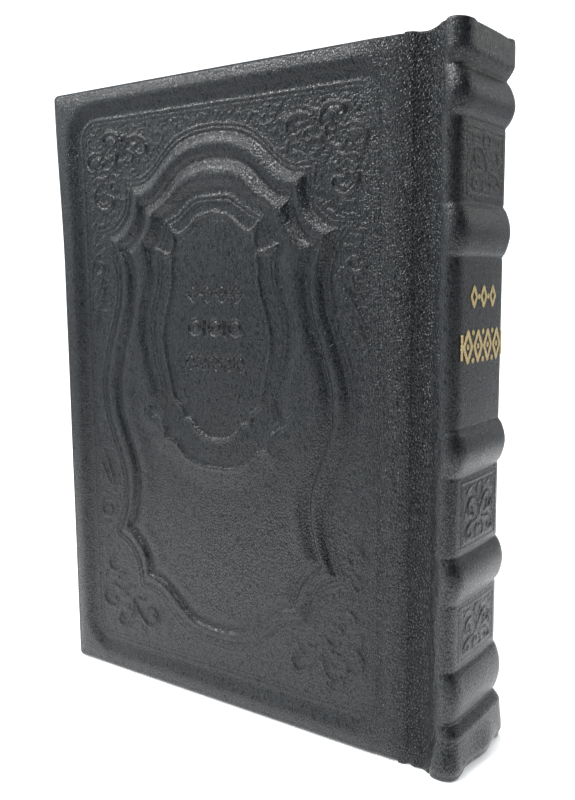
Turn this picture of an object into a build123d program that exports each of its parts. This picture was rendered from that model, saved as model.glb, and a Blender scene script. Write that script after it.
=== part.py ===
from build123d import *
import os

# Prayer book in a padded leather case binding, standing on its tail.
# Millimetres. The front cover faces -Y, the spine is at +X, the fore-edge at -X
# and +Z is up. The origin is the bottom centre of the book's bounding box.
# Pieces are modelled from a datum plane and moved by datum_x when written.

os.makedirs("parts", exist_ok=True)

# ---- covers ----
board_h = 240.0          # height of the covers
head_h = 243.0           # top of the head cap, a little above the covers
fore_x = -92.5           # fore-edge of the covers
hinge_edge_x = 71.0      # joint-side edge of the covers
cover_y = 21.0           # outer face of a cover, from the middle of the book
cover_t = 5.0            # leather, foam and board together
leather_t = 0.9
foam_t = 1.5             # foam pad between leather and board
foam_edge_r = foam_t - 0.25
turn_in_t = 0.3          # pared leather turned in over the board
turn_in_w = 15.0
edge_r = 2.4             # soft rounding of the padded edge
corner_r = 2.5           # corners of the cover seen from the front
paper_t = 0.15           # endpaper sheet

# ---- tooling of the covers ----
panel_x0, panel_x1 = -78.5, 59.9      # sunk panel
panel_z0, panel_z1 = 12.6, 228.4
panel_r = 8.5
panel_depth = 0.8
panel_taper = 35         # slope of the panel's walls, degrees
relief_h = 0.6           # height of the frames above the sunk ground
frame_mid = -10.5        # x of the frames' line of symmetry

# ---- leaves ----
pivot_x = 74.0           # line where the leaves bend, under the joint
leaf_pitch = 1.56        # one section of folded leaves
leaf_t = 1.5
fold_t = 0.6             # thickness at the fold, where the section is nipped
fold_run = 7.0           # length over which the section thins to the fold
page_x0 = -88.5          # fore-edge of the leaves
page_z0, page_z1 = 3.5, 236.5
sections_per_side = 10
flyleaf_t = 0.2
flyleaf_y = 15.72
endpaper_extra = 0.5     # endpapers pass the leaves by this at head and tail
pastedown_shift = 0.8    # pastedown's edges lie this far toward the fore-edge

# ---- spine ----
shoulder_x = 78.0        # wall of the shoulder at the joint
spine_y = 20.2           # outer face of the shoulder
crown_x = 86.8           # flat of the spine between the bands
band_x = 89.2            # crest of a raised band
cap_x = 89.5             # crest of the head and tail caps
spine_t = 1.3            # spine leather
shoulder_r = 2.2
crown_r = 3.9
cap_plan_r = 5.2         # corners of bands and caps seen from above
core_plan_r = 3.6        # the same for the cores under the leather
hollow_r = 2.0
end_wall = 1.6           # wall left at head and tail of the hollow
back_opening_w = 32.7    # slot in the wall facing the leaves
hood_x = 81.5            # the caps reach this far over the headbands
root_sink = 0.2          # swellings start this far inside the crown
core_inset = 1.6         # cores are this much shorter than the swellings at each end
core_drop = 0.4          # fall of a cap core from crest to end
cap_drop = 0.5           # fall of a cap from crest to bevel
cap_bevel = 2.0
slab_y = 30.0            # half width of blanks and cutters that span the spine

# bottom and top of each raised band
bands = [(215.5, 228.0), (173.0, 188.0), (102.6, 116.3), (60.0, 74.0), (18.5, 35.0)]
# tail cap and head cap: z of root, crest, core end and cap end, direction along z
caps = [
    (18.0, 10.0, 3.2, 0.0, -1),
    (228.5, 235.5, head_h - 3.0, head_h, 1),
]

# ---- worked out from the above ----
datum_x = -(fore_x + cap_x) / 2         # centres the book on x = 0
cover_w = hinge_edge_x - fore_x
cover_mid = ((hinge_edge_x + fore_x) / 2, board_h / 2)
board_size = (cover_w - 2 * leather_t, board_h - 2 * leather_t, corner_r - leather_t)
panel_w, panel_h = panel_x1 - panel_x0, panel_z1 - panel_z0
panel_mid = ((panel_x0 + panel_x1) / 2, (panel_z0 + panel_z1) / 2)
inner_y = -(cover_y - cover_t)          # inner face of the front cover
foam_y = -(cover_y - leather_t)         # outer face of the foam
board_y = foam_y + foam_t               # outer face of the board
page_h = page_z1 - page_z0
endpaper_h = page_h + 2 * endpaper_extra
section_ys = [(n - sections_per_side + 0.5) * leaf_pitch for n in range(2 * sections_per_side)]
core_x = crown_x - spine_t              # inner face of the leather at the crown
root_x = crown_x - root_sink
hollow_w = 2 * (spine_y - spine_t)
core_w = hollow_w - 1.0

# ---- right halves of the tooled outlines: (distance from frame_mid, z), top to bottom ----
frame_outer = [
    (0.0, 216.0), (8.0, 215.2), (13.0, 214.2), (18.0, 212.6), (23.0, 209.0),
    (28.0, 204.5), (32.0, 201.5), (36.0, 199.8), (40.0, 199.5), (40.5, 194.0),
    (42.0, 189.0), (45.0, 185.0), (48.5, 182.3), (52.5, 181.0), (48.5, 172.0),
    (47.3, 163.0), (49.0, 153.0), (52.5, 140.0), (54.8, 128.0), (55.5, 120.0),
    (54.1, 110.0), (50.3, 99.0), (46.0, 90.0), (43.5, 80.0), (44.7, 73.0),
    (47.5, 66.0), (44.0, 62.0), (40.0, 58.0), (37.1, 53.0), (36.0, 48.0),
    (32.0, 45.5), (27.0, 43.5), (22.0, 39.0), (17.0, 34.5), (10.0, 31.3),
    (0.0, 30.3),
]
frame_inner = [
    (0.0, 206.5), (8.0, 205.5), (13.0, 204.0), (17.0, 201.3), (21.0, 197.5),
    (25.0, 193.7), (28.0, 191.8), (32.5, 191.5), (33.5, 186.0), (35.5, 181.0),
    (38.5, 178.0), (42.5, 175.8), (42.0, 171.0), (41.5, 165.0), (43.0, 158.0),
    (45.5, 149.0), (48.5, 139.0), (51.0, 128.0), (51.3, 120.0), (49.3, 109.0),
    (44.5, 98.0), (40.5, 90.0), (38.5, 80.0), (40.5, 72.0), (43.0, 65.5),
    (39.0, 62.0), (35.0, 57.0), (33.5, 53.0), (32.5, 49.7), (28.0, 49.0),
    (23.0, 46.0), (18.0, 41.0), (13.0, 37.0), (8.0, 35.4), (0.0, 35.0),
]
cartouche_outer = [
    (0.0, 197.3), (8.0, 197.0), (13.0, 194.5), (18.0, 191.0), (22.0, 189.5),
    (25.0, 188.3), (26.0, 184.0), (28.0, 180.0), (31.5, 177.0), (30.5, 172.0),
    (30.0, 168.0), (31.0, 163.0), (33.5, 158.0), (36.0, 150.0), (36.0, 142.0),
    (34.0, 132.0), (31.0, 125.0), (30.0, 119.0), (32.0, 113.5), (28.0, 111.0),
    (25.3, 107.5), (25.0, 103.5), (22.0, 103.5), (19.0, 102.0), (14.0, 97.5),
    (8.0, 95.0), (0.0, 94.5),
]
cartouche_inner = [
    (0.0, 189.5), (6.0, 188.5), (9.0, 187.0), (12.0, 184.5), (15.0, 182.7),
    (18.0, 182.3), (19.0, 178.0), (21.0, 175.5), (23.5, 174.2), (21.0, 170.0),
    (20.8, 165.0), (22.0, 160.0), (24.5, 152.0), (26.0, 145.0), (25.5, 138.0),
    (23.0, 128.0), (21.5, 120.0), (17.0, 116.0), (16.0, 112.5), (13.0, 112.0),
    (10.0, 109.0), (6.0, 106.3), (0.0, 105.3),
]


def loop_points(half):
    """Whole outline from its right half."""
    right = [(frame_mid + x, z) for x, z in half]
    left = [(frame_mid - x, z) for x, z in half[1:-1]]
    return right + left[::-1]


def face_plane(y):
    """Plane seen from the front: local x is +X, local y is +Z, normal is -Y."""
    return Plane(origin=(0, y, 0), x_dir=(1, 0, 0), z_dir=(0, -1, 0))


def mirrored(part, plane):
    with BuildPart() as other:
        mirror(part, about=plane)
    return other.part


def put_out(part, name):
    piece = part.moved(Location((datum_x, 0, 0)))
    piece.label = name
    export_step(piece, "parts/" + name + ".step")


# =====================================================================
# front cover
# =====================================================================
def make_board():
    with BuildPart() as board:
        with BuildSketch(face_plane(inner_y)):
            with Locations(cover_mid):
                RectangleRounded(*board_size)
        extrude(amount=inner_y - board_y)
        # shallow rebate on three sides for the turned-in leather
        uncut_x0, uncut_x1 = fore_x + turn_in_w, hinge_edge_x + 4
        with BuildSketch(face_plane(inner_y)):
            with Locations(cover_mid):
                Rectangle(cover_w + 2, board_h + 2)
            with Locations(((uncut_x0 + uncut_x1) / 2, board_h / 2)):
                Rectangle(uncut_x1 - uncut_x0, board_h - 2 * turn_in_w, mode=Mode.SUBTRACT)
        extrude(amount=turn_in_t, mode=Mode.SUBTRACT)
    return board.part


def make_padding():
    with BuildPart() as padding:
        with BuildSketch(face_plane(board_y)):
            with Locations(cover_mid):
                RectangleRounded(*board_size)
        extrude(amount=foam_t)
        fillet(padding.faces().sort_by(Axis.Y)[0].edges(), foam_edge_r)
        # room for the leather of the sunk panel
        with BuildSketch(face_plane(foam_y)):
            with Locations(panel_mid):
                RectangleRounded(
                    panel_w + 2 * leather_t, panel_h + 2 * leather_t, panel_r + leather_t
                )
        extrude(amount=-panel_depth, mode=Mode.SUBTRACT)
    return padding.part


def make_cover_leather(board, padding):
    with BuildPart() as leather:
        with BuildSketch(face_plane(inner_y)):
            with Locations(cover_mid):
                RectangleRounded(cover_w, board_h, corner_r)
        extrude(amount=cover_t)
        fillet(leather.faces().sort_by(Axis.Y)[0].edges(), edge_r)
        with BuildSketch(face_plane(-cover_y)):
            with Locations(panel_mid):
                RectangleRounded(panel_w, panel_h, panel_r)
        extrude(amount=-panel_depth, taper=panel_taper, mode=Mode.SUBTRACT)
        # raised frame, then the cartouche band inside it
        for outer, inner in ((frame_outer, frame_inner), (cartouche_outer, cartouche_inner)):
            with BuildSketch(face_plane(-cover_y + panel_depth)):
                with BuildLine():
                    Polyline(*loop_points(outer), close=True)
                make_face()
                with BuildLine():
                    Polyline(*loop_points(inner), close=True)
                make_face(mode=Mode.SUBTRACT)
            extrude(amount=relief_h)
        add(board, mode=Mode.SUBTRACT)
        add(padding, mode=Mode.SUBTRACT)
    return leather.part


def make_pastedown():
    mid_x = (page_x0 + hinge_edge_x) / 2 - pastedown_shift
    with BuildPart() as pastedown:
        with BuildSketch(face_plane(inner_y + paper_t)):
            with Locations((mid_x, board_h / 2)):
                Rectangle(hinge_edge_x - page_x0, endpaper_h)
        extrude(amount=paper_t)
    return pastedown.part


# =====================================================================
# front joint: leather in the groove and the endpaper crossing it
# =====================================================================
def make_joint_leather():
    end_gap = 0.6            # short of the covers at head and tail
    side_gap = 0.05
    rim_y, groove_y, inside_y = -18.6, -17.3, -16.2
    x0, x1 = hinge_edge_x + side_gap, shoulder_x - side_gap
    with BuildPart() as joint:
        with BuildSketch(Plane.XY.offset(end_gap)):
            with BuildLine():
                ThreePointArc((x0, rim_y), ((x0 + x1) / 2, groove_y), (x1, rim_y))
                Polyline((x1, rim_y), (x1, inside_y), (x0, inside_y), (x0, rim_y))
            make_face()
        extrude(amount=board_h - 2 * end_gap)
    return joint.part


def make_endpaper_joint():
    x0, x1 = hinge_edge_x - 0.7, pivot_x - 0.4
    with BuildPart() as joint:
        with BuildSketch(Plane.XY.offset(page_z0 - endpaper_extra)):
            with Locations(((x0 + x1) / 2, inner_y + paper_t / 2)):
                Rectangle(x1 - x0, paper_t)
        extrude(amount=endpaper_h)
    return joint.part


# =====================================================================
# leaves
# =====================================================================
def make_flyleaf():
    with BuildPart() as flyleaf:
        with BuildSketch(Plane.XY.offset(page_z0)):
            with Locations(((page_x0 + pivot_x) / 2, -flyleaf_y)):
                Rectangle(pivot_x - page_x0, flyleaf_t)
            with Locations((pivot_x, -flyleaf_y)):
                Circle(flyleaf_t / 2)
        extrude(amount=page_h)
    return flyleaf.part


def make_section(y_mid):
    """One folded section, thinning to a rounded fold at the pivot."""
    fold_low = (pivot_x, y_mid - fold_t / 2)
    fold_high = (pivot_x, y_mid + fold_t / 2)
    with BuildPart() as section:
        with BuildSketch(Plane.XY.offset(page_z0)):
            with BuildLine():
                Polyline(
                    fold_high,
                    (pivot_x - fold_run, y_mid + leaf_t / 2),
                    (page_x0, y_mid + leaf_t / 2),
                    (page_x0, y_mid - leaf_t / 2),
                    (pivot_x - fold_run, y_mid - leaf_t / 2),
                    fold_low,
                )
                ThreePointArc(fold_low, (pivot_x + fold_t / 2, y_mid), fold_high)
            make_face()
        extrude(amount=page_h)
    return section.part


def make_section_backs():
    """Folded backs of the sections, glued and swollen into the shoulders."""
    # x, and how much the stack has spread in y there
    stations = [(pivot_x + 0.55, 1.0), (78.9, 1.01), (80.6, 1.11), (82.3, 1.16)]
    end_x, end_spread = stations[-1]
    back_bulge = 0.95        # rounding of each back beyond the last station
    half = leaf_pitch / 2 - 0.02
    with BuildPart() as backs:
        with BuildSketch(Plane.XY.offset(page_z0)):
            for y_mid in section_ys:
                low = [(x, (y_mid - half) * spread) for x, spread in stations]
                high = [(x, (y_mid + half) * spread) for x, spread in stations]
                with BuildLine():
                    Polyline(*low)
                    ThreePointArc(low[-1], (end_x + back_bulge, y_mid * end_spread), high[-1])
                    Polyline(*high)
                    Line(low[0], high[0])
                make_face()
        extrude(amount=page_h)
    return backs.part


# =====================================================================
# spine
# =====================================================================
def make_spine_lining():
    """Thin channel round the section backs, open toward the leaves."""
    end_gap = 9.0            # short of the covers at head and tail
    with BuildPart() as lining:
        with BuildSketch(Plane.XY.offset(end_gap)):
            with Locations((81.65, 0)):
                Rectangle(4.5, 37.4)
            with Locations((81.45, 0)):
                Rectangle(4.1, 36.8, mode=Mode.SUBTRACT)
            # shortens the two sides of the channel
            with Locations((80.2, 0)):
                Rectangle(2.6, 60.0, mode=Mode.SUBTRACT)
        extrude(amount=board_h - 2 * end_gap)
    return lining.part


def make_headband():
    """Round bead on top of the leaves with a flat strip down behind them."""
    half_w = 16.6
    bead_r = 0.9
    with BuildPart() as band:
        with BuildSketch(Plane.XZ.offset(half_w)):
            with Locations((83.2, page_z1 + bead_r + 0.02)):
                Circle(bead_r)
            with Locations((84.08, page_z1 - 4.0)):
                Rectangle(0.3, 9.7)
        extrude(amount=-2 * half_w)
    return band.part


def make_spine_inlay():
    """Card inside the spine leather."""
    inlay_t, inlay_w = 1.0, 33.4
    leather_gap = 0.05
    end_gap = 4.0            # short of the covers at head and tail
    with BuildPart() as inlay:
        with BuildSketch(Plane.XY.offset(end_gap)):
            with Locations((core_x - leather_gap - inlay_t / 2, 0)):
                Rectangle(inlay_t, inlay_w)
        extrude(amount=board_h - 2 * end_gap)
    return inlay.part


def make_raised_bands():
    """Cores of the five bands, under the leather."""
    with BuildPart() as cores:
        with BuildSketch(Plane.XZ.offset(slab_y)):
            for z0, z1 in bands:
                low, high = (core_x, z0 + core_inset), (core_x, z1 - core_inset)
                with BuildLine():
                    ThreePointArc(low, (band_x - spine_t, (z0 + z1) / 2), high)
                    Line(high, low)
                make_face()
        extrude(amount=-2 * slab_y)
        # round the ends in plan
        with BuildSketch(Plane.XY):
            with Locations(((shoulder_x + band_x) / 2, 0)):
                RectangleRounded(band_x - shoulder_x - 2 * spine_t, core_w, core_plan_r)
        extrude(amount=head_h, mode=Mode.INTERSECT)
    return cores.part


def make_cap_pads():
    """Cores of the tail and head caps, under the leather."""
    crest_x = cap_x - spine_t
    with BuildPart() as pads:
        with BuildSketch(Plane.XZ.offset(slab_y)):
            for root_z, crest_z, core_end_z, _, way in caps:
                root = (core_x, root_z + way * core_inset)
                end = (crest_x - core_drop, core_end_z)
                with BuildLine():
                    Spline(root, (crest_x, crest_z), end, tangents=[(1, 1.2 * way), (-0.3, way)])
                    Polyline(end, (core_x, core_end_z), root)
                make_face()
        extrude(amount=-2 * slab_y)
        # round the ends in plan
        with BuildSketch(Plane.XY):
            with Locations(((shoulder_x + cap_x) / 2, 0)):
                RectangleRounded(cap_x - shoulder_x - 2 * spine_t, core_w, core_plan_r)
        extrude(amount=head_h, mode=Mode.INTERSECT)
    return pads.part


def make_spine_leather(band_cores, cap_cores):
    with BuildPart() as leather:
        # swelling of the bands and caps
        with BuildSketch(Plane.XZ.offset(slab_y)):
            for z0, z1 in bands:
                with BuildLine():
                    ThreePointArc((root_x, z0), (band_x, (z0 + z1) / 2), (root_x, z1))
                    Line((root_x, z1), (root_x, z0))
                make_face()
            for root_z, crest_z, _, end_z, way in caps:
                root = (root_x, root_z)
                bevel = (cap_x - cap_drop, end_z - way * cap_bevel)
                with BuildLine():
                    Spline(root, (cap_x, crest_z), bevel, tangents=[(1, 1.2 * way), (-0.3, way)])
                    Polyline(bevel, (cap_x - cap_bevel, end_z), (root_x, end_z), root)
                make_face()
        extrude(amount=-2 * slab_y)
        with BuildSketch(Plane.XY):
            with Locations(((shoulder_x + cap_x) / 2, 0)):
                RectangleRounded(cap_x - shoulder_x, 2 * spine_y, cap_plan_r)
        extrude(amount=head_h, mode=Mode.INTERSECT)
        # body of the spine
        with BuildSketch(Plane.XY):
            with BuildLine():
                Polyline(
                    (shoulder_x, -spine_y), (crown_x, -spine_y),
                    (crown_x, spine_y), (shoulder_x, spine_y), close=True,
                )
            make_face()
            fillet(vertices().group_by(Axis.X)[-1], crown_r)
            fillet(vertices().group_by(Axis.X)[0], shoulder_r)
        extrude(amount=head_h)
        # hollow behind the leather, with a wall left at head and tail
        with BuildSketch(Plane.XY.offset(end_wall)):
            with Locations(((shoulder_x + crown_x) / 2, 0)):
                RectangleRounded(crown_x - shoulder_x - 2 * spine_t, hollow_w, hollow_r)
        extrude(amount=head_h - 2 * end_wall, mode=Mode.SUBTRACT)
        # slot toward the leaves, between the shoulders
        with BuildSketch(Plane.XY.offset(-1)):
            with Locations((shoulder_x, 0)):
                Rectangle(3.0, back_opening_w)
        extrude(amount=head_h + 2, mode=Mode.SUBTRACT)
        # head and tail are open on the leaf side of the hoods
        with BuildSketch(Plane.XY.offset(-1)):
            with Locations(((shoulder_x + spine_t + hood_x) / 2, 0)):
                Rectangle(hood_x - shoulder_x - spine_t, core_w)
        extrude(amount=head_h + 2, mode=Mode.SUBTRACT)
        # the shoulders slope down from the cap to the height of the covers
        slope_x = crown_x - 2.0
        with BuildSketch(Plane.XZ.offset(slab_y)):
            with BuildLine():
                Polyline(
                    (70, board_h), (shoulder_x, board_h), (slope_x, head_h),
                    (slope_x, 260), (70, 260), close=True,
                )
            make_face()
        extrude(amount=-2 * slab_y, mode=Mode.SUBTRACT)
        add(band_cores, mode=Mode.SUBTRACT)
        add(cap_cores, mode=Mode.SUBTRACT)
    return leather.part


def make_title_gilt():
    """Gilt on the title panel: pierced lozenges with discs, a plain row above."""
    main_z, main_pitch = 143.5, 7.6
    disc_rise = 4.5          # small discs above and below the main row
    upper_z, upper_pitch = 159.5, 7.4
    # local x is +Y, local y is +Z
    gilt_plane = Plane(origin=(crown_x, 0, 0), x_dir=(0, 1, 0), z_dir=(1, 0, 0))
    with BuildPart() as gilt:
        with BuildSketch(gilt_plane):
            for step in (-1.5, -0.5, 0.5, 1.5):
                with Locations((step * main_pitch, main_z)):
                    RegularPolygon(4.6, 4)
                    RegularPolygon(2.4, 4, mode=Mode.SUBTRACT)
                    Circle(1.1)
            for step in (-1, 0, 1):
                y = step * main_pitch
                with Locations((y, main_z + disc_rise), (y, main_z - disc_rise)):
                    Circle(0.9)
            for step in (-1, 0, 1):
                with Locations((step * upper_pitch, upper_z)):
                    RegularPolygon(2.6, 4)
            for step in (-0.5, 0.5):
                with Locations((step * upper_pitch, upper_z)):
                    Circle(0.8)
        extrude(amount=0.08)
    return gilt.part


# =====================================================================
# build and write the pieces
# =====================================================================
front_board = make_board()
front_padding = make_padding()
front_pieces = {
    "board": front_board,
    "padding": front_padding,
    "cover_leather": make_cover_leather(front_board, front_padding),
    "pastedown": make_pastedown(),
    "joint_leather": make_joint_leather(),
    "endpaper_joint": make_endpaper_joint(),
    "flyleaf": make_flyleaf(),
}
for name, part in front_pieces.items():
    put_out(part, "front_" + name)
    put_out(mirrored(part, Plane.XZ), "back_" + name)

# numbered from the front cover to the back cover
for number, y_mid in enumerate(section_ys, start=1):
    put_out(make_section(y_mid), "section_%02d" % number)
put_out(make_section_backs(), "section_backs")

headband = make_headband()
raised_bands = make_raised_bands()
cap_pads = make_cap_pads()
put_out(make_spine_lining(), "spine_lining")
put_out(headband, "headband")
put_out(mirrored(headband, Plane.XY.offset(board_h / 2)), "tailband")
put_out(make_spine_inlay(), "spine_inlay")
put_out(raised_bands, "raised_bands")
put_out(cap_pads, "cap_pads")
put_out(make_spine_leather(raised_bands, cap_pads), "spine_leather")
put_out(make_title_gilt(), "title_gilt")
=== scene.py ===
"""A padded book bound in black leather, standing on its tail.

Lengths are millimetres unless a comment says metres; meshes are scaled to metres when made.
X runs from the fore edge (-X) to the spine (+X), Z from the tail (0) to the head.
Y runs through the thickness: the front cover faces -Y, and side = -1 means the front.
Places on a cover are u, v: u from the fore edge (0) to the joint, v from the tail (0) up.
They relate to the model by x = u - DATUM_U and z = v.
"""
import math

import bmesh
import bpy
import numpy as np
from mathutils import Matrix, Vector


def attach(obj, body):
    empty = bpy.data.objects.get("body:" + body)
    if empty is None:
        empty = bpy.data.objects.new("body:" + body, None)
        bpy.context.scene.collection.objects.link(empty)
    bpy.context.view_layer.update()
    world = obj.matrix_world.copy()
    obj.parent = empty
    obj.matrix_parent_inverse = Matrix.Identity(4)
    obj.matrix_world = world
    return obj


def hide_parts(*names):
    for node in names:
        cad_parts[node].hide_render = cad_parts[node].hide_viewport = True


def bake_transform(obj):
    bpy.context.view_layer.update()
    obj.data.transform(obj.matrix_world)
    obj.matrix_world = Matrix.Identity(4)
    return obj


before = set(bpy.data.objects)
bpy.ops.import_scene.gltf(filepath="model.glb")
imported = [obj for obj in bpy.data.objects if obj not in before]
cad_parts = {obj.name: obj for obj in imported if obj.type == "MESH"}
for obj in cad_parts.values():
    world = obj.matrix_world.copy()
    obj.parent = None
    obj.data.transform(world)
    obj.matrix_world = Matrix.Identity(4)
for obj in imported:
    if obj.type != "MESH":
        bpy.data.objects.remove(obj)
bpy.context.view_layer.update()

MM = 0.001
DATUM_U = 92.5
SHIFT_X = 1.5                # from the drawing's datum to the row frame, along +X
COVER_W, COVER_H = 163.5, 240.0
EDGE_R = 2.2                 # rounding of the cover's corners and edges
GROUND_Y = 20.15             # distance of the panel's sunk ground from y = 0
PANEL = (13.6, 152.3, 12.5, 228.4)      # u from, u to, v from, v to
PANEL_R = 8.5
AXIS_U = 82.0                # the tooling mirrors about this line
PAGE_FORE, PAGE_FOLD = -88.5, 74.2      # x of the leaves' two ends
PAGE_INSET = 3.5             # from the cover's head and tail to the leaves
SPINE_X, SPINE_CROWN = 86.75, 0.30      # x of the spine's flat and how far its middle stands out
SIDES = ((-1, "front"), (1, "back"))
VIEW_YAW = 0.62108           # radians, shared by the camera and the backdrop


# --- curves ---

def ease(x):
    """Smooth step from 0 to 1."""
    x = np.clip(x, 0.0, 1.0)
    return x * x * (3 - 2 * x)


def bell(x, at, width, high=1.0):
    """Rounded ridge of the given height, centred where x equals at."""
    return high * np.exp(-((x - at) / width) ** 2)


def points(text):
    """Array of points from "u v, u v, ..."."""
    return np.array([pair.split() for pair in text.split(",")], float)


def mirror(line):
    return line * [-1, 1] + [2 * AXIS_U, 0]


def smooth_line(corners, step=0.35):
    """Catmull-Rom line through the corners, with points about step apart."""
    corners = np.asarray(corners, float)
    if len(corners) < 3:
        count = max(2, int(np.hypot(*(corners[-1] - corners[0])) / step) + 1)
        t = np.linspace(0, 1, count)[:, None]
        return corners[0] * (1 - t) + corners[-1] * t
    padded = np.vstack([2 * corners[0] - corners[1], corners, 2 * corners[-1] - corners[-2]])
    pieces = []
    for a, b, c, d in zip(padded, padded[1:], padded[2:], padded[3:]):
        count = max(2, int(np.hypot(*(c - b)) / step) + 1)
        t = np.linspace(0, 1, count, endpoint=False)[:, None]
        pieces.append(0.5 * (2 * b + (c - a) * t + (2 * a - 5 * b + 4 * c - d) * t ** 2
                             + (3 * b - a - 3 * c + d) * t ** 3))
    return np.vstack(pieces + [corners[-1:]])


def arc_length(line):
    """Distance along the line at each of its points."""
    return np.r_[0, np.cumsum(np.hypot(*np.diff(line, axis=0).T))]


def even_profile(text, count):
    """Smooth line through the points of a table, resampled to evenly spaced points."""
    line = smooth_line(points(text), step=0.2)
    along = arc_length(line)
    stations = np.linspace(0, along[-1], count)
    return np.column_stack([np.interp(stations, along, line[:, k]) for k in (0, 1)])


def closed_loop(table):
    """Closed outline from its right half, top centre to bottom centre.

    Each entry is a smooth run between cusps and starts where the one before ends.
    """
    runs = [points(text) for text in table]
    for k in range(1, len(runs)):
        runs[k] = np.vstack([runs[k - 1][-1:], runs[k]])
    left = [mirror(run)[::-1] for run in reversed(runs)]
    top = np.vstack([left[-1][:-1], runs[0]])
    bottom = np.vstack([runs[-1][:-1], left[0]])
    return np.vstack([smooth_line(run)[:-1] for run in [top, *runs[1:-1], bottom, *left[1:-1]]])


class Relief:
    """Distances and stamps on a rectangular grid of places; stamps gather in one layer."""

    def __init__(self, columns, rows):
        self.columns, self.rows = columns, rows
        self.u, self.v = np.meshgrid(columns, rows)
        self.layer = np.zeros_like(self.u)

    def take(self):
        """Hand over the stamped layer and start an empty one."""
        layer, self.layer = self.layer, np.zeros_like(self.u)
        return layer

    def window(self, a, b, reach):
        """Slices of the grid that hold everything within reach of the box from a to b."""
        low, high = np.minimum(a, b) - reach, np.maximum(a, b) + reach
        left, right = np.searchsorted(self.columns, (low[0], high[0]))
        bottom, top = np.searchsorted(self.rows, (low[1], high[1]))
        return slice(bottom, top), slice(left, right)

    def segment_distance(self, a, b, window):
        u, v = self.u[window] - a[0], self.v[window] - a[1]
        span = np.subtract(b, a)
        square = float(span @ span)
        t = np.clip((u * span[0] + v * span[1]) / square, 0, 1) if square > 1e-12 else 0.0
        return np.hypot(u - t * span[0], v - t * span[1])

    def loop_distance(self, loop, reach):
        """Distance to a closed loop, no more than reach. Long loops use every second point."""
        result = np.full_like(self.u, reach)
        stations = loop[::2] if len(loop) > 60 else loop
        for a, b in zip(stations, np.roll(stations, -1, axis=0)):
            window = self.window(a, b, reach)
            result[window] = np.minimum(result[window], self.segment_distance(a, b, window))
        return result

    def inside(self, loop):
        result = np.zeros(self.u.shape, bool)
        a, b = loop, np.roll(loop, -1, axis=0)
        for j, v in enumerate(self.rows):
            hit = (a[:, 1] > v) != (b[:, 1] > v)
            if hit.any():
                slope = (b[hit, 0] - a[hit, 0]) / (b[hit, 1] - a[hit, 1])
                crossings = np.sort(a[hit, 0] + (v - a[hit, 1]) * slope)
                result[j] = (np.searchsorted(crossings, self.columns) % 2) == 1
        return result

    def stamp(self, a, b, radius, high, power=1.4):
        """A rounded bar from a to b."""
        window = self.window(a, b, radius)
        spot = self.layer[window]
        away = np.minimum(self.segment_distance(a, b, window) / radius, 1)
        np.maximum(spot, high * np.cos(away * math.pi / 2) ** power, out=spot)

    def stroke(self, corners, half_width, high, taper=(0.35, 0.35)):
        """A rounded smooth line; taper is the share of the width left at its two ends."""
        line = smooth_line(corners)
        along = arc_length(line)
        along /= max(along[-1], 1e-9)
        share = np.minimum(1, taper[0] + (1 - taper[0]) * along / 0.3)
        share *= np.minimum(1, taper[1] + (1 - taper[1]) * (1 - along) / 0.3)
        for a, b, part in zip(line, line[1:], share):
            self.stamp(a, b, half_width * part, high * (0.55 + 0.45 * part))

    def polygon(self, corners, half_width, high):
        """A closed outline of straight rounded bars."""
        for a, b in zip(corners, corners[1:] + corners[:1]):
            self.stamp(a, b, half_width, high)

    def dome(self, corners, high, edge):
        """A leaf that rises to its full height within edge of its outline."""
        loop = smooth_line(np.vstack([corners, corners[:1]]))[:-1]
        away = self.loop_distance(loop, edge + 0.5)
        rise = high * np.sin(np.clip(away / edge, 0, 1) * math.pi / 2)
        np.maximum(self.layer, np.where(self.inside(loop), rise, 0), out=self.layer)

    def disc(self, centre, radius, high):
        """A rounded ball or button."""
        window = self.window(centre, centre, radius)
        spot = self.layer[window]
        away = np.hypot(self.u[window] - centre[0], self.v[window] - centre[1]) / radius
        np.maximum(spot, high * np.sqrt(np.clip(1 - away ** 2, 0, 1)), out=spot)


# --- tables of the cover's tooling: right half, points as "u v" ---

# inner edge of the rounded moulding
VALLEY = [
    "82 209.2, 90 208.4, 95 207, 100 204.3, 104 200.6, 108 196.8, 112 194.4, 117.5 193.8",
    "118 189.5, 119.5 185, 122 181.3, 125 178.8, 128.5 177.5",
    "126 172.5, 124.3 167, 124.2 162, 125 157, 126.3 151, 128.3 145, 130.5 139, 132.5 132, "
    "133.6 126, 133.8 120, 133 113, 130.5 105.5, 127.5 98.5, 125 91, 124.3 85, 125 77, "
    "127 70, 129.3 65",
    "126 62, 121 57, 118.5 51, 118.5 46.5",
    "112 45, 106 41, 100 36, 94 32, 88 30.8, 82 30.5",
]
# outer edge of the rounded moulding
OUTER = [
    "82 217.8, 90 217, 95 215.8, 100 213.8, 105 210.3, 110 205.8, 114 203, 118 201.2, 123 200.8",
    "123.6 194, 125 189.6, 128 185.8, 131.5 183.2, 137 182",
    "134 178, 131.5 172, 130.2 166, 130.3 160, 131.5 154, 133.8 147, 136.5 140, 139 132, "
    "140.3 126, 140.6 120, 139.6 112, 136.8 104, 133.6 96, 131 88, 130.2 80, 131 73, "
    "133 66.5, 135.5 61",
    "131 59, 127 55.5, 124 50, 122.8 45, 122.5 41",
    "117 40.8, 112 38.7, 107 34.3, 102.5 30.3, 97 27.4, 90 25.8, 82 25.4",
]
# outer edge of the flat band round the plate
BAND = [
    "82 197, 90 196.6, 95 194.3, 100 190.8, 104 189.2, 107 188",
    "108 184, 110 180, 113 177",
    "112 172, 111.8 168, 112.8 163, 115 157, 116.6 150, 116.7 143, 115 133, 112.3 126, "
    "111.5 120, 114 113.6",
    "110 111, 107.3 107.5, 107 103.6",
    "104 103.4, 101 102, 96 97.5, 90 95.2, 82 94.6",
]
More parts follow.
